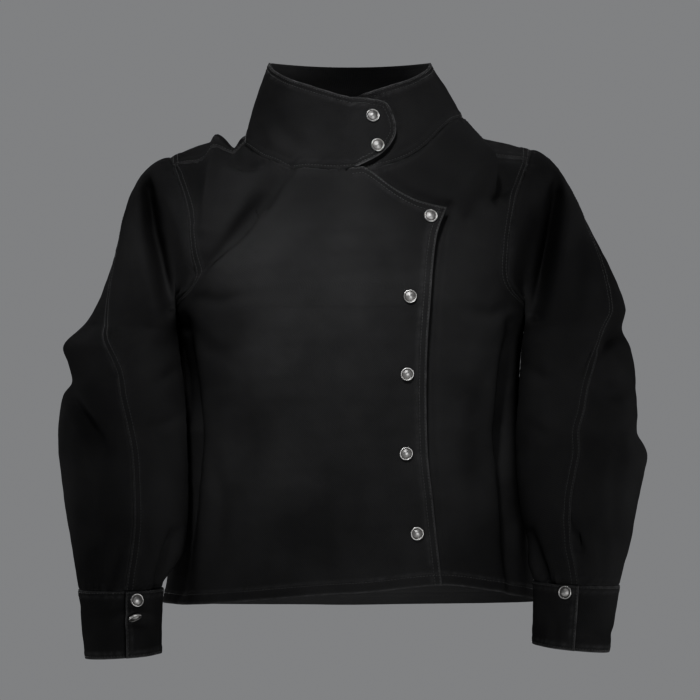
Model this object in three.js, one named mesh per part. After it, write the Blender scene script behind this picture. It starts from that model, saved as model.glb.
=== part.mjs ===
// A wrap-front denim jacket with a tall stand collar, filled out as it is worn.
//
// Millimetres. +X is the wearer's left, -Y the front and +Z up. The origin is between the shoulders, at the
// height where the collar meets them, which is where a wearer carries the jacket.
// Each cloth piece is a wall: a grid of points on its outer face, worked out from the tables below, and an
// inner face one cloth thickness behind it.

import * as THREE from "three";

// Cloth
const CLOTH = 1.6; // heavy denim with the turnings behind its seams
const BAND = 2.4; // collar and cuffs, made of two layers
const SEAM = 0.3; // gap between two pieces that are sewn together
const LAYER = 0.9; // gap between two pieces that lie on each other
const LAP = CLOTH + LAYER; // how far the overlapping front stands off the one below
const BAND_LAP = BAND + LAYER; // the same for the collar's tab and the cuffs' ends

// Heights, as distances down from the origin
const ARMPIT = 188;
const FRONT_ROLL = 170; // where the front starts to lean back towards the shoulder
const BACK_ROLL = 150; // where the back starts to lean forward towards the shoulder

// Body sections. half: half width at the side seams; front and back: depth from there at the middle
const BODY = [
  { down: -60, half: 208, front: 98, back: 84 },
  { down: 0, half: 208, front: 102, back: 90 },
  { down: 60, half: 203, front: 110, back: 101 },
  { down: 120, half: 196, front: 117, back: 107 },
  { down: 188, half: 191, front: 122, back: 107 },
  { down: 230, half: 185, front: 123, back: 103 },
  { down: 300, half: 182, front: 119, back: 97 },
  { down: 380, half: 186, front: 114, back: 94 },
  { down: 450, half: 194, front: 111, back: 96 },
  { down: 530, half: 205, front: 110, back: 99 },
];
const SQUARE = 2.4; // 2 is an ellipse, more is squarer

// Shoulders: the top of the shoulder, from the neck out to the sleeve. right is the wearer's right, at -X
const RIDGE_Y = 12;
const NECK_X = 113;
const TIP_X = 194;
const NECK_RISE = 60; // how far the line would climb at the middle of the neck
const SHOULDER = {
  left: { top: 2, fall: 13, droop: 4 },
  right: { top: 0, fall: 14, droop: 10 },
};
// The shoulder seam lies in front of that line. over: 0 at the chest, 90 on the line itself
const SHOULDER_SEAM = [
  { x: 112, over: 70 },
  { x: 135, over: 65 },
  { x: 160, over: 63 },
  { x: 196, over: 67 },
];

// The armhole's edge on the front and on the back
const ARMHOLE = [
  { down: 10, front: 196, back: 196 },
  { down: 32, front: 191, back: 191 },
  { down: 45, front: 185.5, back: 188.5 },
  { down: 70, front: 177, back: 183 },
  { down: 105, front: 170.5, back: 177 },
  { down: 135, front: 168, back: 174 },
  { down: 157, front: 169, back: 174.5 },
  { down: 170, front: 175, back: 178 },
  { down: 182, front: 186, back: 186 },
  { down: 188, front: 191, back: 191 },
];

// The neckline on the fronts, and the slanting edge that runs on from it over the wearer's left chest
const NECKLINE = [
  { x: -116, down: 9 },
  { x: -93, down: 25 },
  { x: -62, down: 35 },
  { x: -30, down: 39.5 },
  { x: 0, down: 41 },
  { x: 30, down: 37.5 },
  { x: 56, down: 30 },
  { x: 80, down: 20 },
  { x: 100, down: 10.5 },
  { x: 114, down: 8 },
];
const LAPEL = [
  { x: 16, down: 40.4 },
  { x: 26, down: 47 },
  { x: 46, down: 62.5 },
  { x: 67, down: 74.5 },
  { x: 88, down: 81 },
  { x: 101, down: 83.5 },
];
// The edge of the overlapping front, down from that corner to the hem
const FRONT_EDGE = [
  { down: 83.5, x: 101 },
  { down: 117, x: 90 },
  { down: 180, x: 83.5 },
  { down: 253, x: 79.5 },
  { down: 336, x: 80.5 },
  { down: 388, x: 86 },
  { down: 480, x: 96 },
];
const HEM_MIDDLE = 480;
const UNDER_EDGE_X = 5; // the hidden edge of the front below
const LAP_START_X = -28; // where the overlapping front starts to lift off it

// The hem, by the turn round the body: 0 is the middle of the front, 90 the wearer's left side
const HEM = [
  { turn: -180, down: 515 },
  { turn: -135, down: 512 },
  { turn: -90, down: 504 },
  { turn: -45, down: 500 },
  { turn: 0, down: 487 },
  { turn: 24, down: 479 },
  { turn: 45, down: 486 },
  { turn: 90, down: 503 },
  { turn: 135, down: 511 },
  { turn: 180, down: 515 },
];

// The back's neckline, from the shoulder seam to the middle. reach: how far along it;
// turn: the place round the neck; over: the place on the shoulder's curve, where more than 90 is before it
const FRONT_NECK_TURN = 79;
const BACK_NECK = [
  { reach: 0, turn: 79, x: 113, over: 110 },
  { reach: 0.2, turn: 97, x: 111.5, over: 90 },
  { reach: 0.38, turn: 109, x: 104, over: 74 },
  { reach: 0.56, turn: 124, x: 80, over: 60 },
  { reach: 0.76, turn: 146, x: 45, over: 51 },
  { reach: 1, turn: 180, x: 0, over: 46.5 },
];

// Collar. Its top edge, and its tab, whose end is cut to a round shape. turn is as for the hem
const COLLAR_TOP = { half: 87.5, middleY: -3, depth: 69, swell: 2 };
const COLLAR_TOP_Z = [
  { turn: 0, z: 35 },
  { turn: 29, z: 49 },
  { turn: 47, z: 57 },
  { turn: 66, z: 67 },
  { turn: 90, z: 78 },
  { turn: 180, z: 79 },
];
const COLLAR_GAP = 0.8; // between the neckline and the collar, which meets it at an angle
const COLLAR_UNDER_TURN = -357; // the hidden end, once round from the tab
const TAB = [
  { turn: 3, low: 0, high: 1 },
  { turn: 10, low: 0.07, high: 0.99 },
  { turn: 15, low: 0.125, high: 0.97 },
  { turn: 18, low: 0.18, high: 0.965 },
  { turn: 20, low: 0.215, high: 0.955 },
  { turn: 22, low: 0.27, high: 0.94 },
  { turn: 24, low: 0.335, high: 0.91 },
  { turn: 25.2, low: 0.4, high: 0.86 },
  { turn: 26, low: 0.48, high: 0.76 },
  { turn: 26.3, low: 0.56, high: 0.68 },
];

// Sleeves. outer and inner: the section's furthest and nearest distance from the middle of the body; y: its
// middle; deep: half its depth; lean: how far it is turned towards the front, in degrees; tip: how much
// lower its outer side is than its middle. seam: the turn round the sleeve of the elbow seam, where 0 is
// the outer side and 90 the front; under: the turn of the seam below the arm. push and settle: how far the
// cloth carries on the way that it leaves the armhole, and the way that it has at the first section
const SLEEVE = {
  right: {
    push: 0.86,
    settle: 1,
    rows: [
      { down: 208, outer: 289, inner: 185, y: -8, deep: 73, lean: -32, tip: -3, seam: 13, under: 205 },
      { down: 227, outer: 309, inner: 177.5, y: -12, deep: 71, lean: -34, tip: -1, seam: 38, under: 212 },
      { down: 245, outer: 304.5, inner: 174, y: -17, deep: 69, lean: -34, tip: 0, seam: 43, under: 217 },
      { down: 264, outer: 300, inner: 171.5, y: -22, deep: 67, lean: -33, tip: 0, seam: 47, under: 222 },
      { down: 281, outer: 307, inner: 170, y: -28, deep: 66, lean: -32, tip: 0, seam: 56, under: 227 },
      { down: 306, outer: 310.5, inner: 168.5, y: -36, deep: 64, lean: -30, tip: 0, seam: 66, under: 232 },
      { down: 338, outer: 310, inner: 168.5, y: -45, deep: 62, lean: -30, tip: 0, seam: 72, under: 238 },
      { down: 369, outer: 305.5, inner: 169.5, y: -54, deep: 60, lean: -28, tip: 0, seam: 74.5, under: 243 },
      { down: 411, outer: 299, inner: 172, y: -65, deep: 56, lean: -25, tip: 0, seam: 77, under: 250 },
      { down: 443, outer: 293.5, inner: 179.5, y: -73, deep: 51, lean: -22, tip: 0, seam: 78.5, under: 255 },
      { down: 469, outer: 288.5, inner: 190.5, y: -79, deep: 44, lean: -18, tip: 0.5, seam: 82, under: 259 },
      { down: 483, outer: 286, inner: 196.5, y: -83, deep: 40, lean: -15, tip: 0.5, seam: 86, under: 260 },
      { down: 553, outer: 277, inner: 198.5, y: -93, deep: 36.5, lean: -12, tip: 2.7, seam: 86, under: 260 },
    ],
  },
  left: {
    push: 0.75,
    settle: 0.3,
    rows: [
      { down: 201, outer: 299, inner: 185, y: -6, deep: 74, lean: -31, tip: -11, seam: 6, under: 202 },
      { down: 216, outer: 296, inner: 183, y: -9, deep: 73, lean: -32, tip: -8, seam: 13, under: 207 },
      { down: 231, outer: 303, inner: 181.5, y: -13, deep: 71, lean: -34, tip: -4, seam: 26, under: 213 },
      { down: 250, outer: 306, inner: 180, y: -18, deep: 69, lean: -34, tip: -2, seam: 38, under: 218 },
      { down: 271, outer: 306.5, inner: 178.5, y: -24, deep: 67, lean: -33, tip: -1, seam: 47, under: 224 },
      { down: 296, outer: 307, inner: 176.5, y: -33, deep: 65, lean: -30, tip: 0, seam: 56, under: 230 },
      { down: 317, outer: 306, inner: 175.5, y: -39, deep: 63, lean: -30, tip: 0, seam: 61, under: 234 },
      { down: 341, outer: 316, inner: 176, y: -46, deep: 62, lean: -29, tip: 0, seam: 69, under: 238 },
      { down: 359, outer: 313, inner: 177, y: -51, deep: 61, lean: -28, tip: 0, seam: 72, under: 242 },
      { down: 390, outer: 305.5, inner: 180, y: -59, deep: 58, lean: -26, tip: 0, seam: 76.5, under: 247 },
      { down: 432, outer: 297, inner: 186, y: -70, deep: 52, lean: -23, tip: 0.5, seam: 80, under: 253 },
      { down: 460, outer: 289, inner: 191, y: -76, deep: 45, lean: -18, tip: 1.5, seam: 78, under: 257 },
      { down: 477, outer: 284, inner: 194, y: -81, deep: 40, lean: -15, tip: 2.2, seam: 77.5, under: 258 },
      { down: 545, outer: 271.5, inner: 193, y: -91, deep: 36.5, lean: -12, tip: 4.2, seam: 77.5, under: 258 },
    ],
  },
};
const BODY_CLEARANCE = 3; // what a sleeve keeps to the side of the body
const CUFF_OVERLAP = 24; // how far the end of a cuff lies on the other, in degrees round the wrist

// Folds, as soft troughs (depth over 0) or ridges (depth under 0) along a line seen from the front or the
// back. Each line is three points, [across, down]; width is half the fold's
const FOLDS = {
  front: [
    { name: "drape below the right neck", depth: 9, width: 14, line: [[-80, 48], [-126, 103], [-170, 152]] },
    { name: "right shoulder ridge", depth: -6, width: 10, line: [[-144, 16], [-149, 55], [-156, 110]] },
    { name: "right shoulder hollow", depth: 4, width: 9, line: [[-168, 40], [-165, 62], [-166, 86]] },
    { name: "left shoulder hollow", depth: 8, width: 10, line: [[171, 28], [161, 56], [147, 84]] },
    { name: "left chest drape", depth: 4, width: 18, line: [[112, 96], [140, 128], [166, 172]] },
  ],
  back: [
    { name: "left shoulder blade drape", depth: 4, width: 20, line: [[150, 70], [128, 140], [112, 230]] },
    { name: "right shoulder blade drape", depth: 4, width: 18, line: [[-152, 78], [-132, 150], [-108, 215]] },
    { name: "waist drape", depth: 3, width: 22, line: [[-150, 330], [-60, 362], [40, 350]] },
  ],
  rightSleeveFront: [
    { name: "armhole fold", depth: 17, width: 9, line: [[-221, 44], [-205, 102], [-188, 174]] },
    { name: "elbow crease", depth: 12, width: 8, line: [[-306, 276], [-280, 306], [-256, 336]] },
    { name: "roll above the elbow crease", depth: -4, width: 9, line: [[-300, 262], [-268, 296], [-246, 322]] },
    { name: "pleat into the cuff", depth: 9, width: 6, line: [[-186, 438], [-194, 458], [-201, 482]] },
    { name: "tuck beside the elbow seam", depth: 4, width: 7, line: [[-240, 432], [-246, 455], [-252, 480]] },
  ],
  rightSleeveBack: [
    { name: "elbow crease behind", depth: 7, width: 10, line: [[-300, 270], [-262, 290], [-214, 286]] },
    { name: "second elbow crease behind", depth: 5, width: 9, line: [[-296, 316], [-256, 330], [-212, 320]] },
    { name: "pleat into the cuff behind", depth: 6, width: 7, line: [[-262, 430], [-258, 455], [-252, 482]] },
  ],
  leftSleeveFront: [
    { name: "armhole fold", depth: 17, width: 9, line: [[223, 46], [207, 118], [190, 184]] },
    { name: "elbow crease", depth: 12, width: 7, line: [[300, 206], [284, 217], [268, 230]] },
    { name: "pleat into the cuff", depth: 9, width: 6, line: [[192, 440], [198, 458], [206, 477]] },
    { name: "tuck beside the elbow seam", depth: 4, width: 7, line: [[222, 398], [234, 432], [244, 470]] },
    { name: "forearm hollow", depth: 4, width: 12, line: [[304, 272], [280, 276], [258, 282]] },
  ],
  leftSleeveBack: [
    { name: "elbow crease behind", depth: 7, width: 10, line: [[298, 214], [262, 238], [220, 240]] },
    { name: "second elbow crease behind", depth: 5, width: 9, line: [[306, 322], [262, 330], [214, 316]] },
    { name: "pleat into the cuff behind", depth: 6, width: 7, line: [[258, 426], [254, 450], [250, 476]] },
  ],
};

// The wearer's left front stands up in a fold beside the collar and drops sharply to the shoulder
const STAND_FOLD = { from: [108, 4], to: [147, 47], height: 24, before: 34, behind: 13 };
// The wearer's right front has a small peak there, with a notch between it and the collar
const PEAK = { x: -139, down: 12, height: 6, wide: 11, tall: 12 };

// Press studs: cap on the outside, and the post's plate on the inside of the piece below
const CAP = { radius: 7.05, height: 3.2, rim: 1.1 };
const FRONT_STUDS = [
  { down: 91.5, x: 84.5 },
  { down: 176, x: 62.5 },
  { down: 257, x: 59.5 },
  { down: 340, x: 58.5 },
  { down: 424, x: 70 },
];
const COLLAR_STUDS = [
  { down: -15.5, x: 23.8 },
  { down: 16, x: 29 },
];
const CUFF_STUDS = {
  right: [
    { down: 492.7, x: -222.1 },
    { down: 510.4, x: -224.2 },
  ],
  left: [{ down: 484.5, x: 224.2 }],
};
const STUD_SIDES = 18;

// How finely each piece is divided
const OVER_COLUMNS = 24;
const UNDER_COLUMNS = 17;
const BACK_COLUMNS = 28;
const OVER_SHOULDER = 6; // the columns of each front that end at the shoulder seam
const UNDER_SHOULDER = 8;
const BODY_ROWS = 8; // hem to armpit
const ARMPIT_ROWS = 2; // armpit to where the shoulder's curve starts
const SHOULDER_ROWS = 8;
const BACK_SHOULDER_ROWS = 11;
const COLLAR_COLUMNS = 46; // round to the middle of the tab
const COLLAR_STEP = 8; // degrees
const TAB_TURNS = [15, 19, 22, 24.2, 25.6, 26.3]; // closer columns for the tab's round end
const COLLAR_ROWS = 4;
const UPPER_FROM = -4; // places of the sleeve's seams on the armhole, counted from the shoulder seam
const UPPER_TO = 12;
const CAP_ROWS = 7; // armhole to the first section of the sleeve
const CUFF_COLUMNS = 32;
const CUFF_STEP = 12; // degrees
const CUFF_ROWS = 3;

// Gaps at the seams, where they are taken along a piece
const SIDE_GAP = 0.05; // in degrees of turn, at a side seam
const SEAM_TURN = 0.16; // in degrees over the shoulder, at a shoulder seam
const PLACE_GAP = 0.014; // in places round the armhole
const SLEEVE_GAP = 0.22; // in millimetres, either side of a sleeve's seam

const RAD = Math.PI / 180;
const clamp = (v, low, high) => Math.min(high, Math.max(low, v));
const mix = (a, b, t) => a + (b - a) * t;
const sin = (degrees) => Math.sin(degrees * RAD);
const cos = (degrees) => Math.cos(degrees * RAD);
const vec = (x, y, z) => new THREE.Vector3(x, y, z);

function ease(t) {
  const s = clamp(t, 0, 1);
  return s * s * (3 - 2 * s);
}

// A curve that leaves p and arrives at q with the slopes given, at t between 0 and 1.
function hermite(p, leave, q, arrive, t) {
  const u = t * t;
  const v = u * t;
  return p * (2 * v - 3 * u + 1) + leave * (v - 2 * u + t) + q * (3 * u - 2 * v) + arrive * (v - u);
}

// The value of a table's column at a place between its rows, on one smooth curve through them.
function read(table, key, column, at) {
  const last = table.length - 1;
  const place = clamp(at, table[0][key], table[last][key]);
  let i = 0;
  while (i < last - 1 && table[i + 1][key] < place) i += 1;
  const slope = (k) => {
    const a = table[Math.max(k - 1, 0)];
    const b = table[Math.min(k + 1, last)];
    return (b[column] - a[column]) / (b[key] - a[key]);
  };
  const [p, q] = [table[i], table[i + 1]];
  const step = q[key] - p[key];
  return hermite(p[column], slope(i) * step, q[column], slope(i + 1) * step, (place - p[key]) / step);
}

// The form of the body

// Height of the top of the shoulder at a distance from the middle.
function ridge(x) {
  const { top, fall, droop } = x > 0 ? SHOULDER.left : SHOULDER.right;
  const out = Math.max(0, (Math.abs(x) - NECK_X) / (TIP_X - NECK_X));
  const neck = Math.max(0, 1 - (x / NECK_X) ** 2) ** 1.5;
  const middle = mix(SHOULDER.right.top, SHOULDER.left.top, ease(x / NECK_X / 2 + 0.5));
  return mix(top, middle, neck) - fall * out - droop * out ** 3 + NECK_RISE * neck;
}

const bodyHalf = (down) => read(BODY, "down", "half", down);
const bodyDepth = (down, behind) =>
  behind ? read(BODY, "down", "back", down) : -read(BODY, "down", "front", down);
const rollStart = (behind) => (behind ? -BACK_ROLL : -FRONT_ROLL);
const shareOfWidth = (turn) => Math.sign(sin(turn)) * Math.abs(sin(turn)) ** (2 / SQUARE);
const shareOfDepth = (turn) => Math.abs(cos(turn)) ** (2 / SQUARE);

// The turn at which the body is this far from the middle, on the front or the back.
function turnAt(x, down, behind) {
  const share = clamp(Math.abs(x) / bodyHalf(down), 0, 1);
  const turn = (Math.sign(x) * Math.asin(share ** (SQUARE / 2))) / RAD;
  return behind ? Math.sign(x || 1) * 180 - turn : turn;
}

// A point of the body below the shoulder's curve.
function lowPoint(turn, down) {
  const deep = bodyDepth(down, Math.abs(turn) > 90);
  return vec(bodyHalf(down) * shareOfWidth(turn), deep * shareOfDepth(turn), -down);
}

// A point on the shoulder's curve: over is 0 where it starts, 90 on the ridge and more beyond it.
function highPoint(turn, over, behind) {
  if (over > 90) return highPoint(Math.sign(turn) * 180 - turn, 180 - over, !behind);
  const start = rollStart(behind);
  let z = start;
  let x = 0;
  for (let pass = 0; pass < 5; pass += 1) {
    x = bodyHalf(-z) * shareOfWidth(turn);
    z = start + (ridge(x) - start) * sin(over);
  }
  const deep = bodyDepth(-z, behind) * shareOfDepth(turn);
  return vec(x, RIDGE_Y + (deep - RIDGE_Y) * cos(over), z);
}

// How far over the shoulder's curve a height is, at a distance from the middle.
function overAt(x, z, behind) {
  const start = rollStart(behind);
  return Math.asin(clamp((z - start) / (ridge(x) - start), 0, 1)) / RAD;
}

// Half the width of the body at a height and a depth.
function halfWidthAt(y, down) {
  const share = clamp(Math.abs(y / bodyDepth(down, y > 0)), 0, 1);
  return bodyHalf(down) * (1 - share ** SQUARE) ** (1 / SQUARE);
}

// The way that faces out of the body at a point on it.
function outward(p) {
  const behind = p.y > RIDGE_Y;
  const [a, b] = [bodyHalf(-p.z), Math.abs(bodyDepth(-p.z, behind))];
  const x = (Math.sign(p.x) * Math.min(1, Math.abs(p.x) / a) ** (SQUARE - 1)) / a;
  const y = (Math.sign(p.y) * Math.min(1, Math.abs(p.y) / b) ** (SQUARE - 1)) / b;
  const over = overAt(p.x, p.z, behind);
  return vec(x, y, 0).normalize().multiplyScalar(cos(over)).add(vec(0, 0, sin(over))).normalize();
}

// How far a point seen from the front is from a line of three points, and how far along it.
function toLine(line, x, down) {
  let best = { away: Infinity, along: 0 };
  line.slice(1).forEach(([bx, bd], i) => {
    const [ax, ad] = line[i];
    const [dx, dd] = [bx - ax, bd - ad];
    const t = clamp(((x - ax) * dx + (down - ad) * dd) / (dx * dx + dd * dd), 0, 1);
    const away = Math.hypot(x - ax - dx * t, down - ad - dd * t);
    if (away < best.away) best = { away, along: (i + t) / (line.length - 1) };
  });
  return best;
}

// How far folds push a point in.
function foldDepth(folds, p) {
  return folds.reduce((sum, { line, depth, width }) => {
    const { away, along } = toLine(line, p.x, -p.z);
    const fade = 0.25 + 0.75 * Math.sin(Math.PI * clamp(along, 0.04, 0.96));
    return sum + depth * fade * Math.exp(-((away / width) ** 2));
  }, 0);
}

// The fold that stands up beside the collar on the wearer's left, and the peak on the right.
function standing(p) {
  const [ax, ad] = STAND_FOLD.from;
  const [bx, bd] = STAND_FOLD.to;
  const length = Math.hypot(bx - ax, bd - ad);
  const along = ((p.x - ax) * (bx - ax) + (-p.z - ad) * (bd - ad)) / length ** 2;
  const across = ((p.x - ax) * (bd - ad) - (-p.z - ad) * (bx - ax)) / length;
  const side = Math.exp(-((across / (across > 0 ? STAND_FOLD.behind : STAND_FOLD.before)) ** 2));
  const fold = STAND_FOLD.height * side * ease((along + 0.5) * 2) * ease((1.25 - along) * 2.2);
  const peak = Math.exp(-(((p.x - PEAK.x) / PEAK.wide) ** 2) - ((-p.z - PEAK.down) / PEAK.tall) ** 2);
  return fold + PEAK.height * peak;
}

// The body's cloth at a point of its form: moved out by its folds and by what it lies on.
function cloth(p, lift) {
  const before = ease((RIDGE_Y - p.y) / 30);
  const behind = ease((p.y - RIDGE_Y) / 30);
  const folds = before * (standing(p) - foldDepth(FOLDS.front, p)) - behind * foldDepth(FOLDS.back, p);
  return p.clone().addScaledVector(outward(p), folds + lift);
}

// How far the overlapping front stands off the one below.
const lapLift = (x) => LAP * ease((x - LAP_START_X) / (UNDER_EDGE_X - 3 - LAP_START_X));

// Walls

// Unit vectors square to a grid of points, which face the way that turning from its columns to its rows gives.
function normals(grid) {
  const columns = grid.length - 1;
  const rows = grid[0].length - 1;
  return grid.map((column, i) =>
    column.map((_, j) => {
      const across = grid[Math.min(i + 1, columns)][j].clone().sub(grid[Math.max(i - 1, 0)][j]);
      const along = grid[i][Math.min(j + 1, rows)].clone().sub(grid[i][Math.max(j - 1, 0)]);
      return across.cross(along).normalize();
    }),
  );
}

// A wall of cloth: the grid is its outer face, with the inner face behind it and a rim all round. The columns
// and the top row in the margin only lead on past its edges, so that it meets its neighbour squarely.
function wall(wide, thickness, margin = { sides: 0, top: 0 }) {
  const kept = (column) => column.slice(0, column.length - margin.top);
  const trim = (grid) => grid.slice(margin.sides, wide.length - margin.sides).map(kept);
  const grid = trim(wide);
  const out = trim(normals(wide));
  const columns = grid.length;
  const rows = grid[0].length;
  const points = [];
  grid.forEach((column) => column.forEach((p) => points.push(p.x, p.y, p.z)));
  grid.forEach((column, i) =>
    column.forEach((p, j) => {
      const q = p.clone().addScaledVector(out[i][j], -thickness);
      points.push(q.x, q.y, q.z);
    }),
  );
  const outer = (i, j) => i * rows + j;
  const inner = (i, j) => columns * rows + i * rows + j;
  const faces = [];
  const quad = (a, b, c, d) => faces.push(a, b, c, a, c, d);
  for (let i = 0; i < columns - 1; i += 1) {
    for (let j = 0; j < rows - 1; j += 1) {
      const rising = grid[i][j].distanceTo(grid[i + 1][j + 1]);
      const falling = grid[i + 1][j].distanceTo(grid[i][j + 1]);
      if (rising < falling) {
        quad(outer(i, j), outer(i + 1, j), outer(i + 1, j + 1), outer(i, j + 1));
        quad(inner(i, j), inner(i, j + 1), inner(i + 1, j + 1), inner(i + 1, j));
      } else {
        quad(outer(i + 1, j), outer(i + 1, j + 1), outer(i, j + 1), outer(i, j));
        quad(inner(i + 1, j), inner(i, j), inner(i, j + 1), inner(i + 1, j + 1));
      }
    }
    quad(outer(i + 1, 0), outer(i, 0), inner(i, 0), inner(i + 1, 0));
    quad(outer(i, rows - 1), outer(i + 1, rows - 1), inner(i + 1, rows - 1), inner(i, rows - 1));
  }
  for (let j = 0; j < rows - 1; j += 1) {
    quad(outer(0, j), outer(0, j + 1), inner(0, j + 1), inner(0, j));
    quad(outer(columns - 1, j + 1), outer(columns - 1, j), inner(columns - 1, j), inner(columns - 1, j + 1));
  }
  const geometry = new THREE.BufferGeometry();
  geometry.setAttribute("position", new THREE.Float32BufferAttribute(points, 3));
  geometry.setIndex(faces);
  geometry.computeVertexNormals();
  return geometry;
}

const BODY_MARGIN = { sides: 0, top: 1 };
const SLEEVE_MARGIN = { sides: 1, top: 0 };

const denim = new THREE.MeshStandardMaterial({ color: 0x1f1f21, roughness: 0.92, metalness: 0 });
const steel = new THREE.MeshStandardMaterial({ color: 0xb9b9b6, roughness: 0.3, metalness: 1 });

const jacket = new THREE.Group();

function add(name, geometry, material) {
  const mesh = new THREE.Mesh(geometry, material);
  mesh.name = name;
  jacket.add(mesh);
  return mesh;
}

// Fronts and back

// The armhole's edge at a place on the shoulder's curve.
function armholePoint(side, over, behind) {
  const beyond = over > 90;
  const start = rollStart(beyond ? !behind : behind);
  let x = side * TIP_X;
  let z = 0;
  for (let pass = 0; pass < 8; pass += 1) {
    z = start + (ridge(x) - start) * sin(over);
    x = side * (read(ARMHOLE, "down", behind && !beyond ? "back" : "front", -z) - SEAM);
  }
  return { x, down: -z };
}

// Where a row of a front or the back meets the side seam or the armhole: rise is 0 at the hem, 1 at the
// armpit, 2 where the shoulder's curve starts and 3 at the shoulder seam, which is at the place topOver.
function sideOfRow(side, rise, behind, topOver) {
  if (rise <= 1) return { turn: side * (behind ? 90 + SIDE_GAP : 90 - SIDE_GAP), over: 0 };
  if (rise <= 2) {
    const down = mix(ARMPIT, -rollStart(behind), rise - 1);
    const x = side * (read(ARMHOLE, "down", behind ? "back" : "front", down) - SEAM);
    return { turn: turnAt(x, down, behind), over: 0 };
  }
  const over = topOver * (rise - 2);
  const { x, down } = armholePoint(side, over, behind);
  const turn = turnAt(x, down, over > 90 ? !behind : behind);
  return { turn: over > 90 ? side * 180 - turn : turn, over };
}

// The rise of each row, with one that leads on past the top.
function rises(shoulderRows) {
  const list = [];
  for (let j = 0; j <= BODY_ROWS; j += 1) list.push(j / BODY_ROWS);
  for (let j = 1; j <= ARMPIT_ROWS; j += 1) list.push(1 + j / ARMPIT_ROWS);
  for (let j = 1; j <= shoulderRows + 1; j += 1) list.push(2 + j / shoulderRows);
  return list;
}

// How far the columns beside an armhole are drawn in with it, in degrees of turn, and how soon that fades.
const armholeDraw = (rise) => 14 * ease((rise - 0.5) / 1.7) * (1 - ease((rise - 2.3) / 0.7));
const nearSide = (share) => Math.max(0, 1 - share / 0.17) ** 2;

const hemAt = (turn) => read(HEM, "turn", "down", turn);
const seamOver = (x) => read(SHOULDER_SEAM, "x", "over", Math.abs(x));
const tipOver = seamOver(TIP_X) - SEAM_TURN;
const frontTip = (side) => armholePoint(side, tipOver, false).x;
const heightAt = (x, over, behind) => rollStart(behind) + (ridge(x) - rollStart(behind)) * sin(over);

// The height of a front's top edge at a distance from the middle.
function frontTop(x, overlapping) {
  if (overlapping && x > LAPEL[0].x) return -read(LAPEL, "x", "down", x);
  if (Math.abs(x) >= NECK_X) return heightAt(x, seamOver(x) - SEAM_TURN, false);
  return -read(NECKLINE, "x", "down", x) - SEAM;
}

// A value at a share of the way through a list of stops.
function between(stops, column, share) {
  const i = Math.max(0, stops.findIndex((stop) => stop.share >= share) - 1);
  const [a, b] = [stops[i], stops[i + 1]];
  return mix(a[column], b[column], (share - a.share) / (b.share - a.share));
}

// A front, from its side seam to its edge, which is given by its distance from the middle at a height.
function front({ side, columns, stops, edge, overlapping }) {
  const grid = [];
  const [first, last] = [stops[0], stops[stops.length - 1]];
  const topSide = turnAt(first.x, -frontTop(first.x, false), false);
  const topEdge = turnAt(last.x, -frontTop(last.x, overlapping), false);
  for (let i = 0; i <= columns; i += 1) {
    const share = i / columns;
    const topX = between(stops, "x", share);
    const topZ = frontTop(topX, overlapping);
    const topOver = overAt(topX, topZ, false);
    const topTurn = turnAt(topX, -topZ, false);
    const hemDown = hemAt(mix(side * 90, turnAt(edge(HEM_MIDDLE), HEM_MIDDLE, false), share));
    grid.push(
      rises(SHOULDER_ROWS).map((rise) => {
        const start = sideOfRow(side, rise, false, tipOver);
        const over = topOver * Math.max(0, rise - 2);
        const down = rise <= 1 ? mix(hemDown, ARMPIT, rise) : mix(ARMPIT, FRONT_ROLL, Math.min(1, rise - 1));
        const z = over > 0 ? heightAt(topX, over, false) : -down;
        const end = turnAt(i === columns && rise >= 3 ? last.x : edge(-z), -z, false);
        const climb = ease(rise / 3);
        const even = mix(mix(side * 90, end, share), topTurn, climb);
        const atSide = start.turn - mix(side * 90, topSide, climb);
        const atEdge = end - mix(end, topEdge, climb);
        const draw = -side * armholeDraw(rise);
        const turn = even + draw * (1 - share) ** 3 + (atSide - draw) * nearSide(share) + atEdge * share ** 2;
        const p = over > 0 ? highPoint(turn, over, false) : lowPoint(turn, down);
        return cloth(p, overlapping ? lapLift(p.x) : 0);
      }),
    );
  }
  return side < 0 ? grid : grid.reverse();
}

const overGrid = front({
  side: -1,
  columns: OVER_COLUMNS,
  overlapping: true,
  edge: (down) => read(FRONT_EDGE, "down", "x", down),
  stops: [
    { share: 0, x: frontTip(-1) },
    { share: OVER_SHOULDER / OVER_COLUMNS, x: -NECK_X },
    { share: (OVER_SHOULDER + 2) / OVER_COLUMNS, x: -NECK_X + 11 },
    { share: 16 / OVER_COLUMNS, x: LAPEL[0].x },
    { share: 1, x: LAPEL[LAPEL.length - 1].x },
  ],
});
const underGrid = front({
  side: 1,
  columns: UNDER_COLUMNS,
  overlapping: false,
  edge: () => UNDER_EDGE_X,
  stops: [
    { share: 0, x: frontTip(1) },
    { share: UNDER_SHOULDER / UNDER_COLUMNS, x: NECK_X },
    { share: (UNDER_SHOULDER + 2) / UNDER_COLUMNS, x: NECK_X - 11 },
    { share: 1, x: UNDER_EDGE_X },
  ],
});

// The back's top edge at one of its columns, which run from the wearer's left shoulder to the right.
function backTop(column) {
  const fromRight = BACK_COLUMNS - column;
  const side = column < BACK_COLUMNS / 2 ? 1 : -1;
  const inShoulder = side > 0 ? column / UNDER_SHOULDER : fromRight / OVER_SHOULDER;
  if (inShoulder <= 1) {
    const x = mix(Math.abs(frontTip(side)), NECK_X, inShoulder);
    return { x: side * x, over: 180 - seamOver(x) - SEAM_TURN };
  }
  const across = (column - UNDER_SHOULDER) / (BACK_COLUMNS - UNDER_SHOULDER - OVER_SHOULDER);
  const reach = 1 - Math.abs(across - 0.5) * 2;
  const way = across < 0.5 ? 1 : -1;
  return { x: way * read(BACK_NECK, "reach", "x", reach), over: read(BACK_NECK, "reach", "over", reach) };
}

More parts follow.
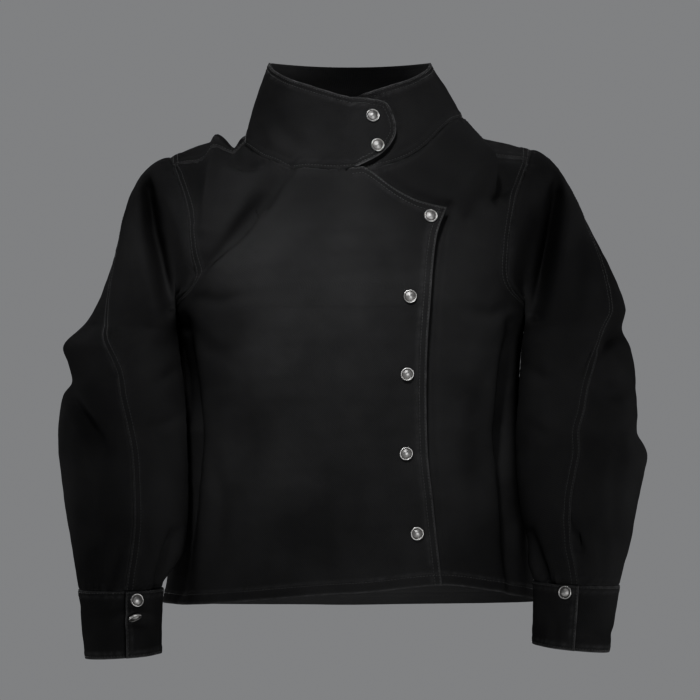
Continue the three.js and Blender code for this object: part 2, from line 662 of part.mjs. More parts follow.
function back() {
  const grid = [];
  const topOver = 180 - seamOver(TIP_X) - SEAM_TURN;
  const leftTop = sideOfRow(1, 3, true, topOver).turn;
  const rightTop = sideOfRow(-1, 3, true, topOver).turn + 360;
  for (let i = 0; i <= BACK_COLUMNS; i += 1) {
    const share = i / BACK_COLUMNS;
    const top = backTop(i);
    const topZ = top.over > 90 ? heightAt(top.x, 180 - top.over, false) : heightAt(top.x, top.over, true);
    const topTurn = (360 + Math.sign(top.x || 1) * 180 - turnAt(top.x, -topZ, false)) % 360;
    const hemDown = hemAt(mix(90, 270, share) > 180 ? mix(90, 270, share) - 360 : mix(90, 270, share));
    grid.push(
      rises(BACK_SHOULDER_ROWS).map((rise) => {
        const climb = ease(rise / 3);
        const left = sideOfRow(1, rise, true, topOver).turn;
        const right = sideOfRow(-1, rise, true, topOver).turn + 360;
        const down = rise <= 1 ? mix(hemDown, ARMPIT, rise) : mix(ARMPIT, BACK_ROLL, Math.min(1, rise - 1));
        const over = top.over * Math.max(0, rise - 2);
        const even = mix(mix(90, 270, share), topTurn, climb);
        const atLeft = left - mix(90, leftTop, climb);
        const atRight = right - mix(270, rightTop, climb);
        const draw = armholeDraw(rise);
        const drawn = draw * (share ** 6 - (1 - share) ** 6);
        let turn = even + drawn + (atLeft + draw) * nearSide(share) + (atRight - draw) * nearSide(1 - share);
        if (turn > 180) turn -= 360;
        return cloth(over > 0 ? highPoint(turn, over, true) : lowPoint(turn, down), 0);
      }),
    );
  }
  return grid;
}

const backGrid = back();
add("front_right", wall(overGrid, CLOTH, BODY_MARGIN), denim);
add("front_left", wall(underGrid, CLOTH, BODY_MARGIN), denim);
add("back", wall(backGrid, CLOTH, BODY_MARGIN), denim);

// Collar

// The neckline at a turn round the neck, on the body's cloth.
function neckPoint(turn) {
  const round = turn < -180 ? turn + 360 : turn;
  const side = Math.sign(round) || 1;
  if (Math.abs(round) <= FRONT_NECK_TURN) {
    const x = NECK_X * sin((round * 90) / FRONT_NECK_TURN);
    const z = -read(NECKLINE, "x", "down", x) + COLLAR_GAP;
    return cloth(highPoint(turnAt(x, -z, false), overAt(x, z, false), false), 0);
  }
  const x = side * read(BACK_NECK, "turn", "x", Math.abs(round));
  const over = read(BACK_NECK, "turn", "over", Math.abs(round));
  const z = over > 90 ? heightAt(x, 180 - over, false) : heightAt(x, over, true);
  return cloth(highPoint(side * 180 - turnAt(x, -z, false), over, true), 0).add(vec(0, 0, COLLAR_GAP));
}

function collar() {
  const even = Array.from({ length: COLLAR_COLUMNS + 1 }, (_, i) => COLLAR_UNDER_TURN + i * COLLAR_STEP);
  return [...even, ...TAB_TURNS].map((turn) => {
    const round = Math.abs(turn < -180 ? turn + 360 : turn);
    const base = neckPoint(turn);
    const topZ = turn > 0 ? COLLAR_TOP_Z[0].z : read(COLLAR_TOP_Z, "turn", "z", round);
    const top = vec(COLLAR_TOP.half * sin(turn), COLLAR_TOP.middleY - COLLAR_TOP.depth * cos(turn), topZ);
    const lift = BAND_LAP * ease((turn + 15) / 18);
    const low = turn > TAB[0].turn ? read(TAB, "turn", "low", turn) : 0;
    const high = turn > TAB[0].turn ? read(TAB, "turn", "high", turn) : 1;
    const out = vec(sin(turn), -cos(turn), 0.15).normalize();
    const baseOut = outward(base);
    const column = [];
    for (let j = 0; j <= COLLAR_ROWS; j += 1) {
      const height = mix(low, high, j / COLLAR_ROWS);
      const swell = COLLAR_TOP.swell * Math.sin(Math.PI * height);
      const way = baseOut.clone().lerp(out, height).normalize();
      column.push(base.clone().lerp(top, height).addScaledVector(way, lift + swell));
    }
    return column;
  });
}

const collarGrid = collar();
add("collar", wall(collarGrid, BAND), denim);

// Sleeves and cuffs

// The armhole's edge as the panels have it, from the top round the front, the armpit and the back.
function armhole(side) {
  const frontEdge = side < 0 ? overGrid[0] : underGrid[underGrid.length - 1];
  const backEdge = side < 0 ? backGrid[backGrid.length - 1] : backGrid[0];
  const down = frontEdge.slice(BODY_ROWS, -1).reverse();
  const up = backEdge.slice(BODY_ROWS + 1, -1);
  const loop = [...down, ...up];
  // The edge's own corners at the armpit and the shoulder seam are shared by the front and the back.
  return loop.slice(0, -1);
}

// A point round a sleeve at a row of its table, and the way that faces out there.
function section(side, row, theta) {
  const half = (row.outer - row.inner) / 2;
  const lean = sin(row.lean);
  const wide = Math.sqrt(Math.max(1, half ** 2 - (row.deep * lean) ** 2)) / cos(row.lean);
  const [u, v] = [wide * cos(theta), row.deep * sin(theta)];
  const x = u * cos(row.lean) + v * lean;
  const y = v * cos(row.lean) - u * lean;
  const out = vec(side * x, -y, 0).normalize();
  const middle = (row.outer + row.inner) / 2;
  return { point: vec(side * (middle + x), row.y - y, -row.down - row.tip * (x / half)), out };
}

function rowAt(rows, down) {
  const keys = ["outer", "inner", "y", "deep", "lean", "tip", "seam", "under"];
  return { down, ...Object.fromEntries(keys.map((key) => [key, read(rows, "down", key, down)])) };
}

// Keeps a sleeve's point clear of the side of the body.
function clear(side, p) {
  if (-p.z < ARMPIT) return p;
  const room = halfWidthAt(p.y, -p.z) + BODY_CLEARANCE * ease((-p.z - ARMPIT) / 12);
  return vec(side * Math.max(side * p.x, room), p.y, p.z);
}

// One piece of a sleeve. Its columns run between two places on the armhole's edge, from place to place.
function sleevePiece(side, spec, folds, { from, to, each, upper }) {
  const loop = armhole(side);
  const count = (to - from) * each;
  const rows = spec.rows.slice(0, -1);
  const at = (list, place) => list[((place % loop.length) + loop.length) % loop.length];
  const middle = loop.reduce((sum, p) => sum.add(p), vec(0, 0, 0)).divideScalar(loop.length);
  const ways = loop.map((p, i) => {
    const way = at(loop, i + 1).clone().sub(at(loop, i - 1)).cross(outward(p)).normalize();
    const inside = vec(side * 100, middle.y - p.y, middle.z - p.z);
    return way.dot(inside) < 0 ? way.negate() : way;
  });
  const grid = [];
  for (let i = -1; i <= count + 1; i += 1) {
    const share = i / count;
    const inset = (i === 0) - (i === count);
    const place = from + i / each + inset * PLACE_GAP;
    const corner = Math.floor(place);
    const edge = at(loop, corner).clone().lerp(at(loop, corner + 1), place - corner);
    const away = at(ways, corner).clone().lerp(at(ways, corner + 1), place - corner).normalize();
    const start = edge.clone().addScaledVector(away, 2 * SEAM);
    const theta = (row) => {
      const turns = upper ? [row.seam, row.under] : [row.under, row.seam + 360];
      return mix(turns[0], turns[1], share) + (inset * SLEEVE_GAP) / row.deep / RAD;
    };
    const onArm = (row) => {
      const turn = theta(row);
      const { point, out } = section(side, row, turn);
      const weight = ease(0.5 + sin(turn));
      const ahead = foldDepth(folds.front, point) * weight;
      const behind = foldDepth(folds.back, point) * (1 - weight);
      return clear(side, point.addScaledVector(out, -ahead - behind));
    };
    const end = onArm(rows[0]);
    const next = onArm(rows[1]);
    const length = start.distanceTo(end);
    const leave = away.multiplyScalar(0.5).add(vec(side, 0, 0)).normalize().multiplyScalar(length * spec.push);
    const arrive = next.sub(end).normalize().multiplyScalar(length * spec.settle);
    const column = [];
    for (let j = 0; j < CAP_ROWS; j += 1) {
      const t = j / CAP_ROWS;
      const p = vec(0, 0, 0);
      ["x", "y", "z"].forEach((axis) => {
        p[axis] = hermite(start[axis], leave[axis], end[axis], arrive[axis], t);
      });
      const weight = ease((t - 0.06) * 3);
      const ahead = p.y < middle.y ? foldDepth(folds.front, p) : 0;
      p.addScaledVector(vec(0, 1, 0), ahead * weight * ease((middle.y - p.y) / 25));
      column.push(j > 0 ? clear(side, p) : p);
    }
    rows.forEach((row) => column.push(onArm(row)));
    grid.push(column);
  }
  return grid;
}

function cuff(side, spec) {
  const [top, bottom] = spec.rows.slice(-2);
  const grid = [];
  for (let i = 0; i <= CUFF_COLUMNS; i += 1) {
    const turn = top.seam + i * CUFF_STEP;
    const lift = BAND_LAP * (1 - ease((i * CUFF_STEP - CUFF_OVERLAP) / 36)) + BAND - CLOTH;
    const column = [];
    for (let j = 0; j <= CUFF_ROWS; j += 1) {
      const row = rowAt(spec.rows, mix(top.down + 2 * SEAM, bottom.down, j / CUFF_ROWS));
      const { point, out } = section(side, row, turn);
      column.push(point.addScaledVector(out, lift));
    }
    grid.push(column);
  }
  return grid;
}

// Turned round where needed so that the outer face is the grid's own.
const facing = (side, grid) => (side > 0 ? grid : grid.slice().reverse());

[
  { name: "right", side: -1 },
  { name: "left", side: 1 },
].forEach(({ name, side }) => {
  const spec = SLEEVE[name];
  const folds = { front: FOLDS[`${name}SleeveFront`], back: FOLDS[`${name}SleeveBack`] };
  const around = armhole(side).length;
  const upper = { from: UPPER_FROM, to: UPPER_TO, each: 1, upper: true };
  const under = { from: UPPER_TO, to: UPPER_FROM + around, each: 2, upper: false };
  const sleeve = (part) => wall(facing(side, sleevePiece(side, spec, folds, part)), CLOTH, SLEEVE_MARGIN);
  add(`sleeve_upper_${name}`, sleeve(upper), denim);
  add(`sleeve_under_${name}`, sleeve(under), denim);
  add(`cuff_${name}`, wall(facing(side, cuff(side, spec)), BAND), denim);
});

// Press studs

// Puts a press stud's cap on a piece, at a distance from the middle and a height as seen from the front.
function stud(name, piece, { x, down, nod = 0 }) {
  const profile = [
    [0, 0],
    [CAP.radius, 0],
    [CAP.radius, CAP.rim],
    [CAP.radius - 1, CAP.rim + 0.7],
    [CAP.radius - 1.9, CAP.rim + 0.4],
    [CAP.radius - 2.6, CAP.rim + 1],
    [CAP.radius * 0.35, CAP.height],
    [0, CAP.height + 0.2],
  ];
  const geometry = new THREE.LatheGeometry(
    profile.map(([r, h]) => new THREE.Vector2(r, h)),
    STUD_SIDES,
  );
  piece.updateMatrixWorld();
  const ray = new THREE.Raycaster(vec(x, -500, -down), vec(0, 1, 0));
  const [hit] = ray.intersectObject(piece);
  const axis = hit.face.normal.clone().applyAxisAngle(vec(1, 0, 0), nod * RAD);
  const cap = add(name, geometry, steel);
  cap.quaternion.setFromUnitVectors(vec(0, 1, 0), axis);
  cap.position.copy(hit.point).addScaledVector(axis, SEAM);
}

const piece = (name) => jacket.getObjectByName(name);
FRONT_STUDS.forEach((at, i) => stud(`stud_front_${i + 1}`, piece("front_right"), at));
COLLAR_STUDS.forEach((at, i) => stud(`stud_collar_${i + 1}`, piece("collar"), at));
CUFF_STUDS.right.forEach((at, i) => stud(`stud_cuff_right_${i + 1}`, piece("cuff_right"), at));
CUFF_STUDS.left.forEach((at, i) => stud(`stud_cuff_left_${i + 1}`, piece("cuff_left"), at));

export default jacket;
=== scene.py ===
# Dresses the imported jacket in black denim. Each cloth piece is rebuilt finely on its solid's own form, with
# its creases, seams and topstitching, and the press studs get turned metal caps.
#
# The form's tables and functions follow the part's own, in millimetres. Here the folds are deeper and longer,
# and the collar's tab is rounder. Meshes are made in metres.

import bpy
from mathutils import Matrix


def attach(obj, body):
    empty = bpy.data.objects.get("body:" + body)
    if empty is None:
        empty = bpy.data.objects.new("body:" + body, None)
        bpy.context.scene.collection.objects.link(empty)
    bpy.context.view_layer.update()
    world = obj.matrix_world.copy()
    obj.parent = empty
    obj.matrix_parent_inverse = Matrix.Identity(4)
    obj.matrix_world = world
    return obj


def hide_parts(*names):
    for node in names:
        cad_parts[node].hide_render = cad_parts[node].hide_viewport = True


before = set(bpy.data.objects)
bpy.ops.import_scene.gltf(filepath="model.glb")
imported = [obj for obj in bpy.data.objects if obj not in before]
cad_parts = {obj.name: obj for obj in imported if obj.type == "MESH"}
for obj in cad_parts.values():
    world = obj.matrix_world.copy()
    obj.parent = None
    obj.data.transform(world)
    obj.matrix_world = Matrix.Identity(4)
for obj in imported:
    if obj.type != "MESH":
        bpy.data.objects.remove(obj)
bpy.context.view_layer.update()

import bpy
import numpy as np
from mathutils import Matrix, Vector

MM = 0.001


def table(columns, rows):
    """A table as a dictionary of its named columns."""
    values = np.array(rows, float)
    return {name: values[:, i] for i, name in enumerate(columns.split())}


# Camera

CAMERA = {"away": 3.5, "height": -0.232, "shows": 0.756, "sensor": 36.0}


def camera():
    lens = bpy.data.cameras.new("camera")
    lens.sensor_width = CAMERA["sensor"]
    lens.lens = CAMERA["sensor"] * CAMERA["away"] / CAMERA["shows"]
    lens.clip_end = 60
    eye = bpy.data.objects.new("camera", lens)
    eye.location = (0, -CAMERA["away"], CAMERA["height"])
    eye.rotation_euler = (np.pi / 2, 0, 0)
    bpy.context.collection.objects.link(eye)
    bpy.context.scene.camera = eye


camera()

# The jacket's form, from the part

CLOTH = 1.6
BAND = 2.4  # collar and cuffs, made of two layers
SEAM = 0.3  # gap between two pieces that are sewn together
LAYER = 0.9  # gap between two pieces that lie on each other
LAP = CLOTH + LAYER
BAND_LAP = BAND + LAYER
ARMPIT = 188
FRONT_ROLL = 170  # where the front starts to lean back towards the shoulder
BACK_ROLL = 150  # where the back starts to lean forward towards the shoulder
SQUARE = 2.4  # 2 is an ellipse, more is squarer
RIDGE_Y = 12
NECK_X = 113
TIP_X = 194
NECK_RISE = 60
SHOULDER = {"left": (2, 13, 4), "right": (0, 14, 10)}  # top, fall and droop of each shoulder
HEM_MIDDLE = 480
UNDER_EDGE_X = 5  # the hidden edge of the front below
LAP_START_X = -28  # where the overlapping front starts to lift off it
LAP_ROOM = 3  # how far before the hidden edge it is fully lifted
FRONT_NECK_TURN = 79
COLLAR_TOP = {"half": 87.5, "middle": -3, "depth": 69, "swell": 2}
COLLAR_GAP = 0.2
COLLAR_TURNS = (-357.0, 26.3)
CUFF_TURNS = (0, 384)
CUFF_OVERLAP = 24
BODY_CLEARANCE = 3
SEAM_TURN = 0.16  # in degrees over the shoulder, at a shoulder seam
SIDE_GAP = 0.05  # in degrees of turn, at a side seam
BODY = table("down half front back", [
    (-60, 208, 98, 84),
    (0, 208, 102, 90),
    (60, 203, 110, 101),
    (120, 196, 117, 107),
    (188, 191, 122, 107),
    (230, 185, 123, 103),
    (300, 182, 119, 97),
    (380, 186, 114, 94),
    (450, 194, 111, 96),
    (530, 205, 110, 99),
])
SHOULDER_SEAM = table("x over", [
    (112, 70),
    (135, 65),
    (160, 63),
    (196, 67),
])
ARMHOLE = table("down front back", [
    (10, 196, 196),
    (32, 191, 191),
    (45, 185.5, 188.5),
    (70, 177, 183),
    (105, 170.5, 177),
    (135, 168, 174),
    (157, 169, 174.5),
    (170, 175, 178),
    (182, 186, 186),
    (188, 191, 191),
])
NECKLINE = table("x down", [
    (-116, 9),
    (-93, 25),
    (-62, 35),
    (-30, 39.5),
    (0, 41),
    (30, 37.5),
    (56, 30),
    (80, 20),
    (100, 10.5),
    (114, 8),
])
LAPEL = table("x down", [
    (16, 40.4),
    (26, 47),
    (46, 62.5),
    (67, 74.5),
    (88, 81),
    (101, 83.5),
])
FRONT_EDGE = table("down x", [
    (83.5, 101),
    (117, 90),
    (180, 83.5),
    (253, 79.5),
    (336, 80.5),
    (388, 86),
    (480, 96),
])
HEM = table("turn down", [
    (-180, 515),
    (-135, 512),
    (-90, 504),
    (-45, 500),
    (0, 487),
    (24, 479),
    (45, 486),
    (90, 503),
    (135, 511),
    (180, 515),
])
BACK_NECK = table("reach turn x over", [
    (0, 79, 113, 110),
    (0.2, 97, 111.5, 90),
    (0.38, 109, 104, 74),
    (0.56, 124, 80, 60),
    (0.76, 146, 45, 51),
    (1, 180, 0, 46.5),
])
COLLAR_TOP_Z = table("turn z", [
    (0, 35),
    (29, 49),
    (47, 57),
    (66, 67),
    (90, 78),
    (180, 79),
])
TAB = table("turn low high", [
    (3, 0, 1),
    (10, 0.07, 0.99),
    (15, 0.125, 0.97),
    (18, 0.18, 0.965),
    (20, 0.215, 0.955),
    (22, 0.27, 0.94),
    (24, 0.335, 0.91),
    (25.2, 0.4, 0.86),
    (26, 0.48, 0.76),
    (26.3, 0.56, 0.68),
])
SLEEVE = {
    "right": {
        "push": 0.86,
        "settle": 1,
        "rows": table("down outer inner y deep lean tip seam under", [
            (208, 289, 185, -8, 73, -32, -3, 13, 205),
            (227, 309, 177.5, -12, 71, -34, -1, 38, 212),
            (245, 304.5, 174, -17, 69, -34, 0, 43, 217),
            (264, 300, 171.5, -22, 67, -33, 0, 47, 222),
            (281, 307, 170, -28, 66, -32, 0, 56, 227),
            (306, 310.5, 168.5, -36, 64, -30, 0, 66, 232),
            (338, 310, 168.5, -45, 62, -30, 0, 72, 238),
            (369, 305.5, 169.5, -54, 60, -28, 0, 74.5, 243),
            (411, 299, 172, -65, 56, -25, 0, 77, 250),
            (443, 293.5, 179.5, -73, 51, -22, 0, 78.5, 255),
            (469, 288.5, 190.5, -79, 44, -18, 0.5, 82, 259),
            (483, 286, 196.5, -83, 40, -15, 0.5, 86, 260),
            (553, 277, 198.5, -93, 36.5, -12, 2.7, 86, 260),
        ]),
    },
    "left": {
        "push": 0.75,
        "settle": 0.3,
        "rows": table("down outer inner y deep lean tip seam under", [
            (201, 299, 185, -6, 74, -31, -11, 6, 202),
            (216, 296, 183, -9, 73, -32, -8, 13, 207),
            (231, 303, 181.5, -13, 71, -34, -4, 26, 213),
            (250, 306, 180, -18, 69, -34, -2, 38, 218),
            (271, 306.5, 178.5, -24, 67, -33, -1, 47, 224),
            (296, 307, 176.5, -33, 65, -30, 0, 56, 230),
            (317, 306, 175.5, -39, 63, -30, 0, 61, 234),
            (341, 316, 176, -46, 62, -29, 0, 69, 238),
            (359, 313, 177, -51, 61, -28, 0, 72, 242),
            (390, 305.5, 180, -59, 58, -26, 0, 76.5, 247),
            (432, 297, 186, -70, 52, -23, 0.5, 80, 253),
            (460, 289, 191, -76, 45, -18, 1.5, 78, 257),
            (477, 284, 194, -81, 40, -15, 2.2, 77.5, 258),
            (545, 271.5, 193, -91, 36.5, -12, 4.2, 77.5, 258),
        ]),
    },
}
# Folds: depth (over 0 is a hollow, under 0 a ridge), half width, and a line of [across, down] points as seen
# from the front
FOLDS = {
    "front": [
        (20, 10, [[-60, 30], [-117, 98], [-172, 160]]),  # drape below the right neck
        (-6, 9, [[-88, 62], [-128, 112], [-160, 168]]),  # its lower side
        (-10, 7, [[-143, 8], [-148, 55], [-154, 104]]),  # right shoulder ridge
        (7, 8, [[-165, 30], [-164, 60], [-166, 92]]),  # right shoulder hollow
        (11, 7, [[-94, 33], [-114, 31], [-134, 25]]),  # hollow under the right of the collar
        (15, 8, [[156, 36], [166, 56], [153, 76]]),  # left shoulder hollow
        (4, 18, [[112, 96], [140, 128], [166, 172]]),  # left chest drape
        (22, 10, [[-180, 206], [-171, 320], [-181, 490]]),  # hollow beside the right sleeve
        (22, 8, [[174, 206], [165, 320], [176, 490]]),  # hollow beside the left sleeve
    ],
    "back": [
        (4, 20, [[150, 70], [128, 140], [112, 230]]),  # left shoulder blade drape
        (4, 18, [[-152, 78], [-132, 150], [-108, 215]]),  # right shoulder blade drape
        (3, 22, [[-150, 330], [-60, 362], [40, 350]]),  # waist drape
    ],
    "right sleeve front": [
        (36, 7, [[-221, 36], [-211, 104], [-190, 186]]),  # armhole fold
        (14, 13, [[-213, 44], [-201, 104], [-186, 176]]),  # its inner side
        (-8, 9, [[-240, 44], [-230, 110], [-208, 186]]),  # roll beside it
        (13, 8, [[-306, 276], [-280, 306], [-256, 336]]),  # elbow crease
        (-4, 9, [[-300, 262], [-268, 296], [-246, 322]]),  # roll above the elbow crease
        (15, 5, [[-184, 424], [-191, 452], [-201, 483]]),  # pleat into the cuff
        (-5, 4, [[-176, 424], [-183, 453], [-195, 480]]),  # its inner side
        (4, 7, [[-240, 432], [-246, 455], [-252, 480]]),  # tuck beside the elbow seam
    ],
    "right sleeve back": [
        (7, 10, [[-300, 270], [-262, 290], [-214, 286]]),  # elbow crease behind
        (5, 9, [[-296, 316], [-256, 330], [-212, 320]]),  # second elbow crease behind
        (6, 7, [[-262, 430], [-258, 455], [-252, 482]]),  # pleat into the cuff behind
    ],
    "left sleeve front": [
        (36, 7, [[226, 38], [213, 108], [196, 194]]),  # armhole fold
        (16, 13, [[214, 46], [201, 108], [188, 184]]),  # its inner side
        (-8, 9, [[244, 46], [231, 112], [214, 194]]),  # roll beside it
        (13, 7, [[300, 206], [284, 217], [268, 230]]),  # elbow crease
        (15, 5, [[188, 424], [196, 452], [206, 478]]),  # pleat into the cuff
        (-5, 4, [[181, 424], [189, 452], [200, 476]]),  # its inner side
        (4, 7, [[222, 398], [234, 432], [244, 470]]),  # tuck beside the elbow seam
        (4, 12, [[304, 272], [280, 276], [258, 282]]),  # forearm hollow
    ],
    "left sleeve back": [
        (7, 10, [[298, 214], [262, 238], [220, 240]]),  # elbow crease behind
        (5, 9, [[306, 322], [262, 330], [214, 316]]),  # second elbow crease behind
        (6, 7, [[258, 426], [254, 450], [250, 476]]),  # pleat into the cuff behind
    ],
}
# The fold that stands up beside the collar. before and behind are its half widths on its two sides
STAND_FOLD = {"start": (108, 4), "end": (147, 49), "height": 28, "before": 34, "behind": 5.5}
# The small peak and the notch at the top of the right shoulder
PEAK = {"x": -140, "down": 12, "height": 10, "wide": 8, "tall": 12}
NOTCH = {"x": -126, "depth": 12, "wide": 6.5, "deep": 40}

# How the part counts the back's columns, from the left shoulder
BACK_COLUMNS = 28
LEFT_SHOULDER_COLUMNS = 8
RIGHT_SHOULDER_COLUMNS = 6
NECK_COLUMNS = BACK_COLUMNS - LEFT_SHOULDER_COLUMNS - RIGHT_SHOULDER_COLUMNS

# Places round an armhole, as the part counts them: from the shoulder seam down the front to the armpit and
# up the back
FRONT_PLACES = 8
ARMPIT_PLACE = 10
BACK_PLACE = 12
PLACES = 23
UPPER_PLACES = (-4, 12)
UNDER_PLACES = (12, 19)


def mix(a, b, t):
    return a + (b - a) * t


def sin(degrees):
    return np.sin(np.radians(degrees))


def cos(degrees):
    return np.cos(np.radians(degrees))


def ease(t):
    s = np.clip(t, 0, 1)
    return s * s * (3 - 2 * s)


def bell(distance, width):
    return np.exp(-((distance / width) ** 2))


def point(x, y, z):
    return np.stack(np.broadcast_arrays(x, y, z), axis=-1).astype(float)


def unit(v):
    return v / np.maximum(np.linalg.norm(v, axis=-1, keepdims=True), 1e-9)


def hermite(p, leave, q, arrive, t):
    u = t * t
    v = u * t
    return p * (2 * v - 3 * u + 1) + leave * (v - 2 * u + t) + q * (3 * u - 2 * v) + arrive * (v - u)


def read(rows, key, column, at):
    """A table's column at places between its rows, on one smooth curve through them."""
    keys, values = rows[key], rows[column]
    slopes = np.empty(len(keys))
    slopes[1:-1] = (values[2:] - values[:-2]) / (keys[2:] - keys[:-2])
    slopes[0] = (values[1] - values[0]) / (keys[1] - keys[0])
    slopes[-1] = (values[-1] - values[-2]) / (keys[-1] - keys[-2])
    place = np.clip(at, keys[0], keys[-1])
    i = np.clip(np.searchsorted(keys, place) - 1, 0, len(keys) - 2)
    step = keys[i + 1] - keys[i]
    part = (place - keys[i]) / step
    return hermite(values[i], slopes[i] * step, values[i + 1], slopes[i + 1] * step, part)


def ridge(x):
    """Height of the top of the shoulder at a distance from the middle."""
    top, fall, droop = (np.where(x > 0, *pair) for pair in zip(SHOULDER["left"], SHOULDER["right"]))
    out = np.maximum(0, (np.abs(x) - NECK_X) / (TIP_X - NECK_X))
    neck = np.maximum(0, 1 - (x / NECK_X) ** 2) ** 1.5
    middle = mix(SHOULDER["right"][0], SHOULDER["left"][0], ease(x / NECK_X / 2 + 0.5))
    return mix(top, middle, neck) - fall * out - droop * out**3 + NECK_RISE * neck


def body_half(down):
    return read(BODY, "down", "half", down)


def body_depth(down, behind):
    return np.where(behind, read(BODY, "down", "back", down), -read(BODY, "down", "front", down))


def roll_start(behind):
    return np.where(behind, -BACK_ROLL, -FRONT_ROLL)


def share_of_width(turn):
    return np.sign(sin(turn)) * np.abs(sin(turn)) ** (2 / SQUARE)


def share_of_depth(turn):
    return np.abs(cos(turn)) ** (2 / SQUARE)


def turn_at(x, down, behind=False):
    """The turn at which the body is this far from the middle."""
    share = np.clip(np.abs(x) / body_half(down), 0, 1)
    turn = np.sign(x) * np.degrees(np.arcsin(share ** (SQUARE / 2)))
    return np.where(behind, np.where(x < 0, -180.0, 180.0) - turn, turn)


def low_point(turn, down):
    """A point of the body below the shoulder's curve."""
    deep = body_depth(down, np.abs(turn) > 90)
    return point(body_half(down) * share_of_width(turn), deep * share_of_depth(turn), -down)


def high_point(turn, over, behind):
    """A point on the shoulder's curve: over is 0 where it starts and 90 on the ridge."""
    past = over > 90
    turn = np.where(past, np.sign(turn) * 180 - turn, turn)
    over = np.where(past, 180 - over, over)
    behind = np.logical_xor(behind, past)
    start = roll_start(behind)
    z = start + 0.0 * turn
    for _ in range(5):
        x = body_half(-z) * share_of_width(turn)
        z = start + (ridge(x) - start) * sin(over)
    deep = body_depth(-z, behind) * share_of_depth(turn)
    return point(x, RIDGE_Y + (deep - RIDGE_Y) * cos(over), z)


def over_at(x, z, behind):
    start = roll_start(behind)
    return np.degrees(np.arcsin(np.clip((z - start) / (ridge(x) - start), 0, 1)))


def height_at(x, over, behind):
    start = roll_start(behind)
    return start + (ridge(x) - start) * sin(over)


def half_width_at(y, down):
    share = np.clip(np.abs(y / body_depth(down, y > 0)), 0, 1)
    return body_half(down) * (1 - share**SQUARE) ** (1 / SQUARE)


def outward(p):
    """The way that faces out of the body at points on it."""
    x, y, z = p[..., 0], p[..., 1], p[..., 2]
    behind = y > RIDGE_Y
    half, deep = body_half(-z), np.abs(body_depth(-z, behind))
    out_x = np.sign(x) * np.minimum(1, np.abs(x) / half) ** (SQUARE - 1) / half
    out_y = np.sign(y) * np.minimum(1, np.abs(y) / deep) ** (SQUARE - 1) / deep
    over = over_at(x, z, behind)[..., None]
    flat = unit(point(out_x, out_y, 0))
    return unit(flat * cos(over) + np.array([0, 0, 1.0]) * sin(over))


def to_line(line, x, down):
    """How far points seen from the front are from a line, and how far along it they lie."""
    away = np.full(np.shape(x), np.inf)
    along = np.zeros(np.shape(x))
    for i, ((ax, ad), (bx, bd)) in enumerate(zip(line, line[1:])):
        dx, dd = bx - ax, bd - ad
        t = np.clip(((x - ax) * dx + (down - ad) * dd) / (dx * dx + dd * dd), 0, 1)
        gap = np.hypot(x - ax - dx * t, down - ad - dd * t)
        along = np.where(gap < away, (i + t) / (len(line) - 1), along)
        away = np.minimum(gap, away)
    return away, along


def fold_depth(folds, p):
    """How far folds push points in."""
    total = np.zeros(p.shape[:-1])
    for depth, width, line in folds:
        away, along = to_line(line, p[..., 0], -p[..., 2])
        fade = 0.25 + 0.75 * np.sin(np.pi * np.clip(along, 0.04, 0.96))
        total += depth * fade * bell(away, width)
    return total


def standing(p):
    """The fold that stands up beside the collar, and the small peak on the other shoulder."""
    x, down = p[..., 0], -p[..., 2]
    (ax, ad), (bx, bd) = STAND_FOLD["start"], STAND_FOLD["end"]
    length = np.hypot(bx - ax, bd - ad)
    along = ((x - ax) * (bx - ax) + (down - ad) * (bd - ad)) / length**2
    across = ((x - ax) * (bd - ad) - (down - ad) * (bx - ax)) / length
    side = bell(across, np.where(across > 0, STAND_FOLD["behind"], STAND_FOLD["before"]))
    fold = STAND_FOLD["height"] * side * ease((along + 0.5) * 2) * ease((1.3 - along) * 2.2)
    peak = bell(x - PEAK["x"], PEAK["wide"]) * bell(down - PEAK["down"], PEAK["tall"])
    return fold + PEAK["height"] * peak


def cloth(p, lift):
    """The body's cloth at points of its form, moved out by its folds and by what it lies on."""
    before = ease((RIDGE_Y - p[..., 1]) / 30)
    behind = ease((p[..., 1] - RIDGE_Y) / 30)
    folds = before * (standing(p) - fold_depth(FOLDS["front"], p)) - behind * fold_depth(FOLDS["back"], p)
    notch = bell(p[..., 0] - NOTCH["x"], NOTCH["wide"]) * bell(p[..., 1] - RIDGE_Y, NOTCH["deep"])
    folds -= NOTCH["depth"] * notch * ease((p[..., 2] + 60) / 30)
    return p + outward(p) * (folds + lift)[..., None]


def lap_lift(x):
    return LAP * ease((x - LAP_START_X) / (UNDER_EDGE_X - LAP_ROOM - LAP_START_X))


def armhole_point(side, over, behind):
    """The armhole's edge at places on the shoulder's curve."""
    beyond = over > 90
    start = roll_start(np.logical_xor(behind, beyond))
    x = side * TIP_X + 0.0 * over
    on_back = np.logical_and(behind, ~beyond)
    for _ in range(8):
        z = start + (ridge(x) - start) * sin(over)
        edge = np.where(on_back, read(ARMHOLE, "down", "back", -z), read(ARMHOLE, "down", "front", -z))
        x = side * (edge - SEAM)
    return x, -z


def side_of_row(side, rise, behind, top_over):
    """Where rows of a front or the back meet the side seam or the armhole."""
    low = side * (90 + SIDE_GAP if behind else 90 - SIDE_GAP)
    down = mix(ARMPIT, BACK_ROLL if behind else FRONT_ROLL, np.clip(rise - 1, 0, 1))
    x = side * (read(ARMHOLE, "down", "back" if behind else "front", down) - SEAM)
    middle = turn_at(x, down, behind)
    over = top_over * np.maximum(0, rise - 2)
    high_x, high_down = armhole_point(side, over, behind)
    beyond = over > 90
    turn = turn_at(high_x, high_down, np.logical_xor(behind, beyond))
    high = np.where(beyond, side * 180 - turn, turn)
    return np.where(rise <= 1, low, np.where(rise <= 2, middle, high))


